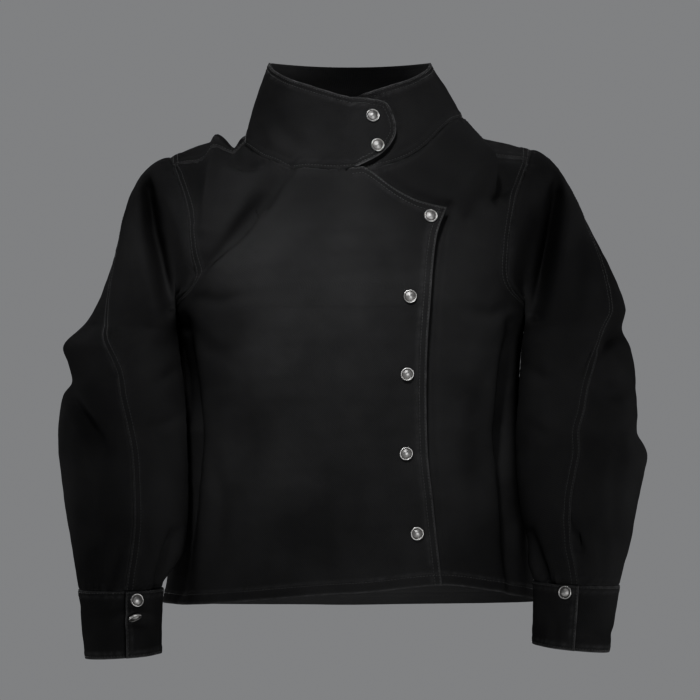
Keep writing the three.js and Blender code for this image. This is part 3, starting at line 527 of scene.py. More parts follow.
def armhole_draw(rise):
    """How far the armhole draws a row of a front or the back, in degrees of turn."""
    return 14 * ease((rise - 0.5) / 1.7) * (1 - ease((rise - 2.3) / 0.7))


def near_side(share):
    """How much a column follows its side's edge rather than its even place."""
    return np.maximum(0, 1 - share / 0.17) ** 2


def hem_at(turn):
    return read(HEM, "turn", "down", turn)


def seam_over(x):
    return read(SHOULDER_SEAM, "x", "over", np.abs(x))


TIP_OVER = seam_over(TIP_X) - SEAM_TURN


def front_tip(side):
    return float(armhole_point(side, np.array(TIP_OVER), False)[0])


def front_top(x, overlapping):
    """The height of a front's top edge at distances from the middle."""
    neck = -read(NECKLINE, "x", "down", x) - SEAM
    shoulder = height_at(x, seam_over(x) - SEAM_TURN, False)
    top = np.where(np.abs(x) >= NECK_X, shoulder, neck)
    if overlapping:
        top = np.where(x > LAPEL["x"][0], -read(LAPEL, "x", "down", x), top)
    return top


def front(side, share, rise, stops, edge, overlapping):
    """A front, from its side seam to its edge, which is given by its distance from the middle at a height."""
    share, rise = share[:, None], rise[None, :]
    places, distances = zip(*stops)
    top_x = np.interp(share, places, distances)
    top_z = front_top(top_x, overlapping)
    top_over = over_at(top_x, top_z, False)
    top_turn = turn_at(top_x, -top_z)
    first, last = np.array(distances[0]), np.array(distances[-1])
    top_side = turn_at(first, -front_top(first, False))
    top_edge = turn_at(last, -front_top(last, overlapping))
    hem_down = hem_at(mix(side * 90, turn_at(edge(np.array(HEM_MIDDLE)), HEM_MIDDLE), share))
    start = side_of_row(side, rise, False, TIP_OVER)
    over = top_over * np.maximum(0, rise - 2)
    below = np.where(rise <= 1, mix(hem_down, ARMPIT, rise), mix(ARMPIT, FRONT_ROLL, np.minimum(1, rise - 1)))
    z = np.where(over > 0, height_at(top_x, over, False), -below)
    end_x = edge(-z) + 0.0 * z
    end_x = np.where((share >= 1) & (rise >= 3), last, end_x)
    end = turn_at(end_x, -z)
    climb = ease(rise / 3)
    even = mix(mix(side * 90, end, share), top_turn, climb)
    at_side = start - mix(side * 90, top_side, climb)
    at_edge = end - mix(end, top_edge, climb)
    draw = -side * armhole_draw(rise)
    turn = even + draw * (1 - share) ** 3 + (at_side - draw) * near_side(share) + at_edge * share**2
    p = np.where((over > 0)[..., None], high_point(turn, over, False), low_point(turn, below))
    grid = cloth(p, lap_lift(p[..., 0]) if overlapping else 0.0 * p[..., 0])
    return grid if side < 0 else grid[::-1]


def back_top(column):
    """The back's top edge at its columns, counted as the part counts them from the left shoulder."""
    from_right = BACK_COLUMNS - column
    left = column < BACK_COLUMNS / 2
    in_shoulder = np.where(left, column / LEFT_SHOULDER_COLUMNS, from_right / RIGHT_SHOULDER_COLUMNS)
    side = np.where(left, 1, -1)
    x = mix(np.where(left, abs(front_tip(1)), abs(front_tip(-1))), NECK_X, in_shoulder)
    across = (column - LEFT_SHOULDER_COLUMNS) / NECK_COLUMNS
    reach = np.clip(1 - np.abs(across - 0.5) * 2, 0, 1)
    way = np.where(across < 0.5, 1, -1)
    on_shoulder = in_shoulder <= 1
    top_x = np.where(on_shoulder, side * x, way * read(BACK_NECK, "reach", "x", reach))
    over = np.where(on_shoulder, 180 - seam_over(x) - SEAM_TURN, read(BACK_NECK, "reach", "over", reach))
    return top_x, over


def back(share, rise):
    """The back, from the left side seam round to the right one."""
    share, rise = share[:, None], rise[None, :]
    top_x, top_place = back_top(share * BACK_COLUMNS)
    top_over = 180 - seam_over(TIP_X) - SEAM_TURN
    beyond = top_place > 90
    top_z = np.where(beyond, height_at(top_x, 180 - top_place, False), height_at(top_x, top_place, True))
    side = np.where(top_x < 0, -1, 1)
    top_turn = (360 + side * 180 - turn_at(top_x, -top_z)) % 360
    round_hem = mix(90, 270, share)
    hem_down = hem_at(np.where(round_hem > 180, round_hem - 360, round_hem))
    climb = ease(rise / 3)
    top_rise = np.array([[3.0]])
    left_top = side_of_row(1, top_rise, True, top_over)
    right_top = side_of_row(-1, top_rise, True, top_over) + 360
    left = side_of_row(1, rise, True, top_over)
    right = side_of_row(-1, rise, True, top_over) + 360
    down = np.where(rise <= 1, mix(hem_down, ARMPIT, rise), mix(ARMPIT, BACK_ROLL, np.minimum(1, rise - 1)))
    over = top_place * np.maximum(0, rise - 2)
    even = mix(mix(90, 270, share), top_turn, climb)
    at_left = left - mix(90, left_top, climb)
    at_right = right - mix(270, right_top, climb)
    draw = armhole_draw(rise)
    turn = even + draw * (share**6 - (1 - share) ** 6)
    turn = turn + (at_left + draw) * near_side(share) + (at_right - draw) * near_side(1 - share)
    turn = np.where(turn > 180, turn - 360, turn)
    p = np.where((over > 0)[..., None], high_point(turn, over, True), low_point(turn, down))
    return cloth(p, 0.0 * p[..., 0])


def neck_point(turn):
    """The neckline at turns round the neck, on the body's cloth."""
    around = np.where(turn < -180, turn + 360, turn)
    side = np.where(around < 0, -1, 1)
    x = NECK_X * sin(np.clip(around * 90 / FRONT_NECK_TURN, -90, 90))
    z = -read(NECKLINE, "x", "down", x) + COLLAR_GAP
    before = cloth(high_point(turn_at(x, -z), over_at(x, z, False), False), 0.0 * x)
    x = side * read(BACK_NECK, "turn", "x", np.abs(around))
    over = read(BACK_NECK, "turn", "over", np.abs(around))
    z = np.where(over > 90, height_at(x, 180 - over, False), height_at(x, over, True))
    behind = cloth(high_point(side * 180 - turn_at(x, -z), over, True), 0.0 * x)
    behind[..., 2] += COLLAR_GAP
    return np.where((np.abs(around) <= FRONT_NECK_TURN)[..., None], before, behind)


def collar(share, height_share):
    """The collar, from its end below the tab round the neck to the tab's own end."""
    turn = mix(*COLLAR_TURNS, share)[:, None]
    around = np.abs(np.where(turn < -180, turn + 360, turn))
    base = neck_point(turn)
    top_z = np.where(turn > 0, COLLAR_TOP_Z["z"][0], read(COLLAR_TOP_Z, "turn", "z", around))
    top = point(COLLAR_TOP["half"] * sin(turn), COLLAR_TOP["middle"] - COLLAR_TOP["depth"] * cos(turn), top_z)
    lift = BAND_LAP * ease((turn + 15) / 18)
    on_tab = turn > TAB["turn"][0]
    low = np.where(on_tab, read(TAB, "turn", "low", turn), 0)
    high = np.where(on_tab, read(TAB, "turn", "high", turn), 1)
    height = mix(low, high, height_share[None, :])
    swell = COLLAR_TOP["swell"] * np.sin(np.pi * height)
    out = unit(point(sin(turn), -cos(turn), 0.15))
    way = unit(mix(outward(base), out, height[..., None]))
    return mix(base, top, height[..., None]) + way * (lift + swell)[..., None]


def armhole(front_edge, back_edge):
    """A function that gives the armhole's edge at places round it, from the panels' own edges."""
    below_front = ARMPIT_PLACE - FRONT_PLACES
    below_back = BACK_PLACE - ARMPIT_PLACE
    up_back = PLACES - BACK_PLACE

    def at_rise(edge, rise):
        return point(*(np.interp(rise, BODY_RISES, edge[:, axis]) for axis in range(3)))

    def edge(place):
        place = np.mod(place, PLACES)
        on_front = np.where(
            place <= FRONT_PLACES, 3 - place / FRONT_PLACES, 2 - (place - FRONT_PLACES) / below_front
        )
        on_back = np.where(
            place <= BACK_PLACE, 1 + (place - ARMPIT_PLACE) / below_back, 2 + (place - BACK_PLACE) / up_back
        )
        on_front = at_rise(front_edge, on_front)
        on_back = at_rise(back_edge, on_back)
        return np.where((place <= ARMPIT_PLACE)[..., None], on_front, on_back)

    return edge


def section(side, row, theta):
    """Points round a sleeve at rows of its table, and the way that faces out there."""
    half = (row["outer"] - row["inner"]) / 2
    lean = sin(row["lean"])
    wide = np.sqrt(np.maximum(1, half**2 - (row["deep"] * lean) ** 2)) / cos(row["lean"])
    u, v = wide * cos(theta), row["deep"] * sin(theta)
    x = u * cos(row["lean"]) + v * lean
    y = v * cos(row["lean"]) - u * lean
    middle = (row["outer"] + row["inner"]) / 2
    place = point(side * (middle + x), row["y"] - y, -row["down"] - row["tip"] * (x / half))
    return place, unit(point(side * x, -y, 0))


def row_at(rows, down):
    return {"down": down, **{key: read(rows, "down", key, down) for key in rows if key != "down"}}


def clear(side, p):
    """Keeps a sleeve's points clear of the side of the body."""
    x, y, z = p[..., 0], p[..., 1], p[..., 2]
    room = half_width_at(y, -z) + BODY_CLEARANCE * ease((-z - ARMPIT) / 12)
    return point(np.where(-z < ARMPIT, x, side * np.maximum(side * x, room)), y, z)


def sleeve_piece(side, name, edge, share, cap, downs, upper):
    """One piece of a sleeve. cap is the way from the armhole to the first section, and downs are the heights
    that go on from it."""
    spec = SLEEVE[name]
    ahead_folds, behind_folds = FOLDS[name + " sleeve front"], FOLDS[name + " sleeve back"]
    place = mix(*(UPPER_PLACES if upper else UNDER_PLACES), share)
    loop = edge(np.arange(PLACES))
    middle = loop.mean(axis=0)
    start_edge = edge(place)
    away = unit(np.cross(edge(place + 0.7) - edge(place - 0.7), outward(start_edge)))
    inside = point(side * 100, middle[1] - start_edge[:, 1], middle[2] - start_edge[:, 2])
    away = np.where((np.sum(away * inside, axis=-1) < 0)[:, None], -away, away)
    start = (start_edge + away * 2 * SEAM)[:, None]

    def on_arm(down):
        row = row_at(spec["rows"], down)
        turns = (row["seam"], row["under"]) if upper else (row["under"], row["seam"] + 360)
        turn = mix(turns[0][None, :], turns[1][None, :], share[:, None])
        p, out = section(side, row, turn)
        weight = ease(0.5 + sin(turn))
        folds = fold_depth(ahead_folds, p) * weight + fold_depth(behind_folds, p) * (1 - weight)
        return clear(side, p - out * folds[..., None])

    first = spec["rows"]["down"][:2]
    ends = on_arm(first)
    end, following = ends[:, :1], ends[:, 1:]
    length = np.linalg.norm(end - start, axis=-1, keepdims=True)
    leave = unit(away[:, None] * 0.5 + np.array([side, 0, 0])) * length * spec["push"]
    arrive = unit(following - end) * length * spec["settle"]
    t = cap[None, :, None]
    p = hermite(start, leave, end, arrive, t)
    ahead = np.where(p[..., 1] < middle[1], fold_depth(ahead_folds, p), 0)
    p[..., 1] += ahead * ease((t[..., 0] - 0.04) * 6) * ease((middle[1] - p[..., 1]) / 25)
    p = np.where(t > 0, clear(side, p), p)
    return np.concatenate([p, on_arm(downs)], axis=1)


def cuff(side, name, share, height_share):
    """A cuff, from its upper end round the wrist to the end that lies below it."""
    rows = SLEEVE[name]["rows"]
    top, bottom = rows["down"][-2:]
    around = mix(*CUFF_TURNS, share)[:, None]
    lift = BAND_LAP * (1 - ease((around - CUFF_OVERLAP) / 36)) + BAND - CLOTH
    row = row_at(rows, mix(top + 2 * SEAM, bottom, height_share)[None, :])
    p, out = section(side, row, rows["seam"][-2] + around)
    return p + out * lift[..., None]


# Finishing the cloth

# Creases laid on the form: depth (over 0 is a trough, under 0 a ridge), half width, and a line of
# [across, down] points as seen from the front
CREASES = {
    "front": [
        (2.2, 9, [[-66, 60], [-104, 92], [-140, 150]]),
        (-1.6, 8, [[-92, 44], [-120, 84], [-158, 148]]),
        (1.8, 7, [[-166, 176], [-140, 182], [-112, 176]]),
        (1.3, 10, [[-178, 200], [-150, 230], [-120, 244]]),
        (1.1, 12, [[-60, 150], [-30, 210], [-44, 290]]),
        (-0.9, 14, [[-110, 240], [-90, 300], [-96, 380]]),
        (1.2, 10, [[-150, 330], [-136, 390], [-142, 455]]),
        (1.2, 12, [[30, 120], [36, 170], [24, 230]]),
        (-1.0, 9, [[-20, 410], [-12, 450], [-16, 486]]),
        (1.6, 7, [[119, 86], [126, 92], [132, 99]]),
        (1.0, 8, [[140, 62], [134, 80], [120, 100]]),
        (1.8, 8, [[176, 186], [150, 196], [124, 190]]),
        (1.3, 11, [[150, 230], [136, 300], [140, 380]]),
        (-1.1, 10, [[118, 260], [112, 330], [120, 420]]),
        (1.4, 9, [[176, 400], [166, 440], [172, 490]]),
    ],
    "back": [
        (2.4, 10, [[-158, 150], [-120, 170], [-60, 168]]),
        (2.2, 10, [[160, 158], [116, 182], [52, 178]]),
        (1.6, 12, [[-90, 60], [-50, 92], [10, 98]]),
        (1.5, 11, [[94, 62], [60, 86], [20, 84]]),
        (2.4, 11, [[-170, 300], [-110, 318], [-30, 306]]),
        (2.0, 10, [[172, 318], [118, 340], [60, 332]]),
        (-1.6, 10, [[-140, 352], [-70, 372], [30, 362]]),
        (1.8, 12, [[-120, 396], [-40, 412], [70, 398]]),
        (1.4, 11, [[-100, 250], [-84, 330], [-92, 470]]),
        (1.3, 12, [[96, 240], [104, 330], [98, 480]]),
        (1.0, 14, [[0, 200], [6, 320], [-4, 490]]),
    ],
    "right sleeve front": [
        (2.6, 8, [[-214, 212], [-238, 250], [-268, 286]]),
        (-1.6, 7, [[-224, 232], [-246, 264], [-270, 294]]),
        (1.8, 10, [[-250, 90], [-246, 140], [-236, 190]]),
        (1.6, 7, [[-180, 250], [-196, 262], [-214, 266]]),
        (1.4, 7, [[-178, 300], [-198, 312], [-220, 312]]),
        (1.8, 8, [[-286, 340], [-272, 372], [-276, 420]]),
        (1.6, 6, [[-262, 420], [-268, 446], [-266, 476]]),
        (-1.4, 6, [[-214, 396], [-216, 430], [-210, 470]]),
    ],
    "right sleeve back": [
        (3.0, 9, [[-300, 250], [-256, 262], [-196, 252]]),
        (2.4, 8, [[-304, 300], [-262, 308], [-196, 300]]),
        (-1.8, 8, [[-300, 276], [-256, 284], [-200, 276]]),
        (1.8, 10, [[-262, 100], [-240, 150], [-214, 190]]),
        (1.6, 9, [[-290, 360], [-250, 372], [-200, 362]]),
        (1.6, 7, [[-236, 420], [-236, 450], [-232, 478]]),
    ],
    "left sleeve front": [
        (2.2, 8, [[262, 270], [282, 276], [302, 274]]),
        (1.8, 9, [[250, 90], [248, 140], [236, 190]]),
        (1.6, 7, [[188, 250], [204, 262], [222, 262]]),
        (1.6, 7, [[186, 310], [206, 322], [226, 318]]),
        (2.0, 8, [[270, 222], [252, 244], [236, 262]]),
        (2.4, 6, [[232, 420], [237, 432], [244, 446]]),
        (1.6, 8, [[284, 330], [276, 370], [276, 420]]),
        (-1.6, 7, [[306, 306], [296, 322], [284, 330]]),
        (1.5, 6, [[262, 420], [264, 446], [262, 470]]),
    ],
    "left sleeve back": [
        (3.0, 9, [[302, 236], [258, 252], [204, 246]]),
        (2.4, 8, [[306, 288], [262, 296], [206, 288]]),
        (-1.8, 8, [[302, 262], [258, 274], [206, 268]]),
        (1.8, 10, [[262, 100], [242, 150], [216, 186]]),
        (1.6, 9, [[300, 356], [256, 366], [204, 352]]),
        (1.6, 7, [[232, 418], [232, 448], [228, 472]]),
    ],
}
# The front below sinks along the edge of the one that lies on it
ALONG_OVERLAP = [
    [22, 36],
    [50, 58],
    [70, 70],
    [90, 77],
    [105, 80],
    [95, 117],
    [88, 180],
    [84, 253],
    [85, 336],
    [90, 388],
    [101, 490],
]
CREASES["under front"] = CREASES["front"] + [(4.0, 4.5, ALONG_OVERLAP)]
CREASES["collar front"] = [
    (1.3, 8, [[-86, -30], [-70, 0], [-40, 24]]),
    (-1.0, 7, [[-92, -10], [-80, 12], [-56, 30]]),
    (1.2, 8, [[62, -46], [74, -20], [92, 0]]),
    (1.0, 7, [[-20, -34], [-10, -10], [-16, 16]]),
]
CREASES["collar back"] = [
    (1.5, 9, [[-70, -56], [-20, -46], [40, -52]]),
    (1.3, 8, [[-80, -16], [-30, -8], [20, -14]]),
    (-1.0, 8, [[60, -64], [72, -40], [84, -10]]),
]
CREASES["cuffs"] = [
    (-2.4, 5, [[-242, 508], [-225, 505], [-208, 509]]),
    (2.4, 5, [[-240, 517], [-225, 515], [-210, 518]]),
    (1.2, 5, [[-286, 500], [-268, 506], [-246, 503]]),
    (1.0, 5, [[-210, 520], [-204, 534], [-206, 548]]),
    (1.4, 5, [[246, 528], [262, 532], [278, 529]]),
    (1.0, 5, [[206, 500], [214, 520], [212, 540]]),
]
CREASE_DEPTH = 1.8  # how much deeper the creases are laid than their figures
WAVES = [(75, 0.4, 3), (27, 0.2, 5), (11, 0.06, 8)]  # length, height and seed of the cloth's own unevenness
SWELLS = 12  # how many swells add up to one of these

FINE = 0.85  # the steps of the meshes beside their seams

# Seams and topstitching
STITCH_STEP = 3.4
STITCH_LENGTH = 2.6
STITCH_RADIUS = 0.34
STITCH_SINK = 0.3  # how far a row of stitches draws the cloth in
THREAD_LIFT = 0.12  # how far the thread's middle lies above the cloth
RELIEF = 0.2  # how much thinner the shells are than the solids' walls, to leave room for the relief on them
TURNING_EASE = 2.6  # the width over which the cloth comes down from a turning
EDGE_EASE = 1.3  # the width over which it sinks at its edge
END_EASE = 0.012  # the share of a seam over which its finish fades at its ends
BEFORE_END = 20  # how many columns before a rounded end are looked at too


def waves(p, length, seed):
    """An even, smooth swell over a piece, the same where two pieces meet."""
    dice = np.random.default_rng(seed)
    total = np.zeros(p.shape[:-1])
    for _ in range(SWELLS):
        way = unit(dice.normal(size=3))
        turns = 2 * np.pi / (length * dice.uniform(0.7, 1.5))
        total += np.sin(p @ way * turns + dice.uniform(0, 2 * np.pi))
    return total / SWELLS**0.5


def normals(grid):
    return unit(np.cross(np.gradient(grid, axis=0), np.gradient(grid, axis=1)))


def measure(grid):
    """How far each point of a grid is from its four edges, along its rows and columns."""
    across = np.cumsum(np.linalg.norm(np.diff(grid, axis=0), axis=-1), axis=0)
    along = np.cumsum(np.linalg.norm(np.diff(grid, axis=1), axis=-1), axis=1)
    u = np.pad(across, ((1, 0), (0, 0)))
    v = np.pad(along, ((0, 0), (1, 0)))
    return {"first": u, "last": u[-1:] - u, "start": v, "end": v[:, -1:] - v}


def spread(length, first, last, coarse=2.7):
    """Shares of a length, closer together near its ends where the seams are."""
    middle = np.linspace(first, length - last, int((length - first - last) / coarse))
    ends = [np.arange(0, first, FINE), np.arange(length, length - last, -FINE)]
    return np.unique(np.round(np.concatenate([middle, *ends]), 4)) / length


def with_stops(shares, stops):
    """Shares with the nearest one moved to each stop, where the piece has a corner."""
    for stop in stops:
        shares[np.argmin(np.abs(shares - stop))] = stop
    return shares


def panel(grid):
    """A piece: its face's points, the way they face, how far they are from its edges, how far its finish
    raises them, how much lighter its edges are painted, partly for wear and partly as a painted highlight,
    and its rows of topstitching."""
    return {
        "grid": grid,
        "out": normals(grid),
        "from": measure(grid),
        "raise": np.zeros(grid.shape[:2]),
        "wear_and_rim_highlight": np.zeros(grid.shape[:2]),
        "rows": [],
        "ends": [],
    }


def seam(piece, edge, stitched=(), turned=0.0, lift=0.0, drop=0.5, pucker=0.0, wear_and_rim_highlight=0.4, span=(0.0, 1.0)):
    """Finishes one edge of a piece. turned is the width of the turning that lies behind it, lift how far that
    raises it, drop how far the edge itself sinks into its seam, and stitched the rows of topstitching."""
    away = piece["from"][edge]
    run = piece["from"]["start" if edge in ("first", "last") else "first"]
    share = run / np.maximum(run.max(axis=1 if edge in ("first", "last") else 0, keepdims=True), 1)
    within = ease((share - span[0]) / END_EASE + 0.5) * ease((span[1] - share) / END_EASE + 0.5)
    amount = lift * (1 - ease((away - turned) / TURNING_EASE)) - drop * bell(away, EDGE_EASE)
    for row in stitched:
        beat = 0.75 + 0.25 * np.sin(run * 2 * np.pi / STITCH_STEP)
        amount = amount - STITCH_SINK * bell(away - row, 1.0) * beat
        piece["rows"].append((edge, row, span))
    wander = run + 3.1 * np.sin(run / 6.3 + 1) + 2.2 * np.sin(run / 15.1 + 2)
    swell = np.sin(wander * 2 * np.pi / 9.3) * (0.65 + 0.35 * np.sin(run / 21 + 0.7))
    amount = amount + pucker * swell * bell(away - turned * 0.5, turned * 0.8 + 3)
    piece["raise"] += amount * within
    # Lighter along the edge and beside its turning: partly wear, and partly a painted highlight for the light
    # catching the edge
    edge_wear_and_highlight = wear_and_rim_highlight * (bell(away, 1.6) + 0.35 * bell(away - turned, 2.2) * (0.6 + 0.4 * swell))
    piece["wear_and_rim_highlight"] = np.maximum(piece["wear_and_rim_highlight"], edge_wear_and_highlight * within)


def settle(piece, ahead, behind):
    """Lays the creases and the cloth's unevenness on a piece, and moves its face to where they leave it."""
    grid, out = piece["grid"], piece["out"]
    weight = ease(0.5 - 1.2 * out[..., 1])
    creases = fold_depth(CREASES[ahead], grid) * weight + fold_depth(CREASES[behind], grid) * (1 - weight)
    amount = piece["raise"] - CREASE_DEPTH * creases
    for length, height, seed in WAVES:
        amount = amount + height * waves(grid, length, seed)
    piece["grid"] = grid + out * amount[..., None]
    piece["out"] = normals(piece["grid"])
    piece["from"] = measure(piece["grid"])


def beside(piece, edge, distance, span):
    """Points on a piece's face a distance in from one of its edges, and the way that faces out there."""
    grid, out, away = piece["grid"], piece["out"], piece["from"][edge]
    if edge in ("first", "last"):
        grid, out, away = grid.swapaxes(0, 1), out.swapaxes(0, 1), away.T
    if edge in ("last", "end"):
        grid, out, away = grid[:, ::-1], out[:, ::-1], away[:, ::-1]
    i = np.clip((away < distance).sum(axis=1), 1, away.shape[1] - 1)
    line = np.arange(len(i))
    low, high = away[line, i - 1], away[line, i]
    t = ((distance - low) / np.maximum(high - low, 1e-6))[:, None]
    path = mix(grid[line, i - 1], grid[line, i], t)
    faces = unit(mix(out[line, i - 1], out[line, i], t))
    run = np.pad(np.cumsum(np.linalg.norm(np.diff(path, axis=0), axis=1)), (1, 0))
    kept = (run >= span[0] * run[-1] + 1.5) & (run <= span[1] * run[-1] - 1.5)
    return path[kept], faces[kept]


def round_edge(piece, first):
    """The edge of a piece's rounded end, from one side round to the other, starting at a column."""
    pick = lambda field: np.concatenate([field[first:, -1], field[-1, -2:0:-1], field[first:, 0][::-1]])
    return pick(piece["grid"]), pick(piece["out"])


def round_end(piece, first, stitched, turned, lift, drop, wear_and_rim_highlight):
    """Finishes a piece's rounded end from a column on, as seam does a straight edge."""
    edge, _ = round_edge(piece, first - BEFORE_END)
    away = np.linalg.norm(piece["grid"][first:, :, None] - edge, axis=-1).min(axis=-1)
    amount = lift * (1 - ease((away - turned) / TURNING_EASE)) - drop * bell(away, EDGE_EASE)
    for row in stitched:
        amount = amount - STITCH_SINK * bell(away - row, 1.0)
        piece["ends"].append((row, first))
    piece["raise"][first:] += amount
    # Lighter along the rounded edge: partly wear, and partly a painted highlight for the light catching it
    piece["wear_and_rim_highlight"][first:] = np.maximum(piece["wear_and_rim_highlight"][first:], wear_and_rim_highlight * bell(away, 1.6))


def beside_end(piece, distance, first):
    """Points a distance in from a piece's rounded end, and the way that faces out there."""
    edge, out = round_edge(piece, first)
    near = piece["grid"][first - BEFORE_END :].reshape(-1, 3)
    faces = piece["out"][first - BEFORE_END :].reshape(-1, 3)
    inward = unit(np.cross(out, np.gradient(edge, axis=0)))
    if np.sum(inward * (near.mean(axis=0) - edge)) < 0:
        inward = -inward
    path = edge + inward * distance
    nearest = np.linalg.norm(path[:, None] - near, axis=-1).argmin(axis=1)
    way = faces[nearest]
    return path - way * np.sum((path - near[nearest]) * way, axis=-1, keepdims=True), way


# Meshes


def place(obj):
    bpy.context.collection.objects.link(obj)
    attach(obj, "root")
    return obj


def mesh_of(name, points, faces, uv, values):
    mesh = bpy.data.meshes.new(name)
    mesh.vertices.add(len(points))
    mesh.vertices.foreach_set("co", (points * MM).ravel())
    mesh.loops.add(faces.size)
    mesh.loops.foreach_set("vertex_index", faces.ravel())
    mesh.polygons.add(len(faces))
    mesh.polygons.foreach_set("loop_start", np.arange(0, faces.size, faces.shape[1]))
    mesh.update(calc_edges=True)
    mesh.uv_layers.new(name="cloth").data.foreach_set("uv", (uv * MM)[faces.ravel()].ravel())
    for key, value in values.items():
        mesh.attributes.new(key, "FLOAT", "POINT").data.foreach_set("value", value)
    mesh.validate()
    mesh.shade_smooth()
    return mesh


def with_turnings(piece, turnings):
    """A piece's points, facing, wear and cloth map, with the turnings that run on behind the pieces sewn to
    it. A turning is an edge, how far it runs on and how far it sinks on the way."""
    uv = np.stack([piece["from"]["first"], piece["from"]["start"]], axis=-1)
    fields = [piece["grid"], piece["out"], piece["wear_and_rim_highlight"][..., None], uv]
    for edge, reach, sink in turnings:
        if edge in ("start", "end"):
            fields = [field.swapaxes(0, 1) for field in fields]
        if edge in ("last", "end"):
            fields = [field[::-1] for field in fields]
        grid, out = fields[:2]
        reach, sink = np.broadcast_to(reach, len(grid[0])), np.broadcast_to(sink, len(grid[0]))
        on = grid[0] + unit(grid[0] - grid[2]) * reach[:, None] - out[0] * sink[:, None]
        added = [on, *(field[0] for field in fields[1:])]
        fields = [np.concatenate([line[None], field]) for line, field in zip(added, fields)]
        if edge in ("last", "end"):
            fields = [field[::-1] for field in fields]
        if edge in ("start", "end"):
            fields = [field.swapaxes(0, 1) for field in fields]
    return fields


def shell(name, piece, thickness, material, turnings):
    """A closed shell of cloth: a piece's face, its back one thickness behind and the rim between them."""
    grid, out, wear_and_rim_highlight, uv = with_turnings(piece, turnings)
    columns, rows = grid.shape[:2]
    count = columns * rows
    points = np.concatenate([grid.reshape(-1, 3), (grid - out * thickness).reshape(-1, 3)])
    at = np.arange(count).reshape(columns, rows)
    a, b, c, d = at[:-1, :-1], at[1:, :-1], at[1:, 1:], at[:-1, 1:]
    face = np.stack([a, b, c, d], axis=-1).reshape(-1, 4)
    rim = np.concatenate([at[:, 0], at[-1, 1:], at[-2::-1, -1], at[0, -2:0:-1]])
    onward = np.roll(rim, -1)
    edge = np.stack([onward, rim, rim + count, onward + count], axis=-1)
    faces = np.concatenate([face, face[:, ::-1] + count, edge])
    uv = uv.reshape(-1, 2)
    wear_and_rim_highlight = np.clip(wear_and_rim_highlight, 0, 1).ravel()
    # The back's points are marked for the denim's lighter reverse, which is painted light
    values = {"wear_and_rim_highlight": np.tile(wear_and_rim_highlight, 2), "lit_reverse": np.repeat([0.0, 1.0], count)}
    mesh = mesh_of(name, points, faces, np.tile(uv, (2, 1)), values)
    mesh.materials.append(material)
    return place(bpy.data.objects.new(name, mesh))


# Materials


def add(tree, kind, inputs=None, **settings):
    node = tree.nodes.new(kind)
    for key, value in settings.items():
        setattr(node, key, value)
    for key, value in (inputs or {}).items():
        if isinstance(value, bpy.types.NodeSocket):
            tree.links.new(value, node.inputs[key])
        else:
            node.inputs[key].default_value = value
    return node


def group(name, inputs, outputs):
    tree = bpy.data.node_groups.new(name, "ShaderNodeTree")
    for key, kind, value in inputs:
        socket = tree.interface.new_socket(key, in_out="INPUT", socket_type=kind)
        if value is not None:
            socket.default_value = value
    for key, kind in outputs:
        tree.interface.new_socket(key, in_out="OUTPUT", socket_type=kind)
    return tree, tree.nodes.new("NodeGroupInput"), tree.nodes.new("NodeGroupOutput")


def calc(tree, operation, a, b):
    return add(tree, "ShaderNodeMath", {0: a, 1: b}, operation=operation).outputs[0]


def noise(tree, vector, scale, detail=2.0):
    given = {"Vector": vector, "Scale": scale, "Detail": detail}
    return add(tree, "ShaderNodeTexNoise", given).outputs["Fac"]


def twill_weave():
    """Slanting ribs of twill with slubs along them. Lengths are in metres of cloth."""
    tree, given, made = group(
        "twill weave",
        [
            ("Cloth", "NodeSocketVector", None),
            ("Ribs", "NodeSocketFloat", 300.0),
            ("Slubs", "NodeSocketFloat", 900.0),
        ],
        [("Height", "NodeSocketFloat"), ("Fleck", "NodeSocketFloat")],
    )
    ribs = add(
        tree,
        "ShaderNodeTexWave",
        {
            "Vector": given.outputs["Cloth"],
            "Scale": given.outputs["Ribs"],
            "Distortion": 1.5,
            "Detail Scale": 2.0,
        },
        bands_direction="DIAGONAL",
    ).outputs["Fac"]
    slubs = noise(tree, given.outputs["Cloth"], given.outputs["Slubs"])
    tree.links.new(calc(tree, "ADD", calc(tree, "MULTIPLY", ribs, 0.5), slubs), made.inputs["Height"])
    tree.links.new(slubs, made.inputs["Fleck"])
    return tree


def cloth_fade_and_highlight():
    """How faded the cloth is in soft patches all over, and how much lighter it is along its seams and edges,
    where it is partly rubbed and partly painted with a highlight for the light catching them.
    """
    tree, given, made = group(
        "cloth fade and highlight",
        [
            ("Place", "NodeSocketVector", None),
            ("Edges", "NodeSocketFloat", 0.0),
            ("Patches", "NodeSocketFloat", 0.3),
        ],
        [("Fade", "NodeSocketFloat")],
    )
    broad = noise(tree, given.outputs["Place"], 9.0, 4.0)
    fine = noise(tree, given.outputs["Place"], 120.0, 3.0)
    patch = calc(tree, "MULTIPLY", calc(tree, "SUBTRACT", broad, 0.38), given.outputs["Patches"])
    broken = calc(tree, "ADD", calc(tree, "MULTIPLY", fine, 1.3), -0.15)
    # The edges' lightening, broken up: partly wear, and partly a painted highlight
    rubbed_and_highlit = calc(tree, "MULTIPLY", given.outputs["Edges"], broken)
    total = add(tree, "ShaderNodeMath", {0: patch, 1: rubbed_and_highlit}, operation="ADD", use_clamp=True).outputs[0]
    tree.links.new(total, made.inputs["Fade"])
    return tree


TWILL = twill_weave()
FADE_AND_HIGHLIGHT = cloth_fade_and_highlight()


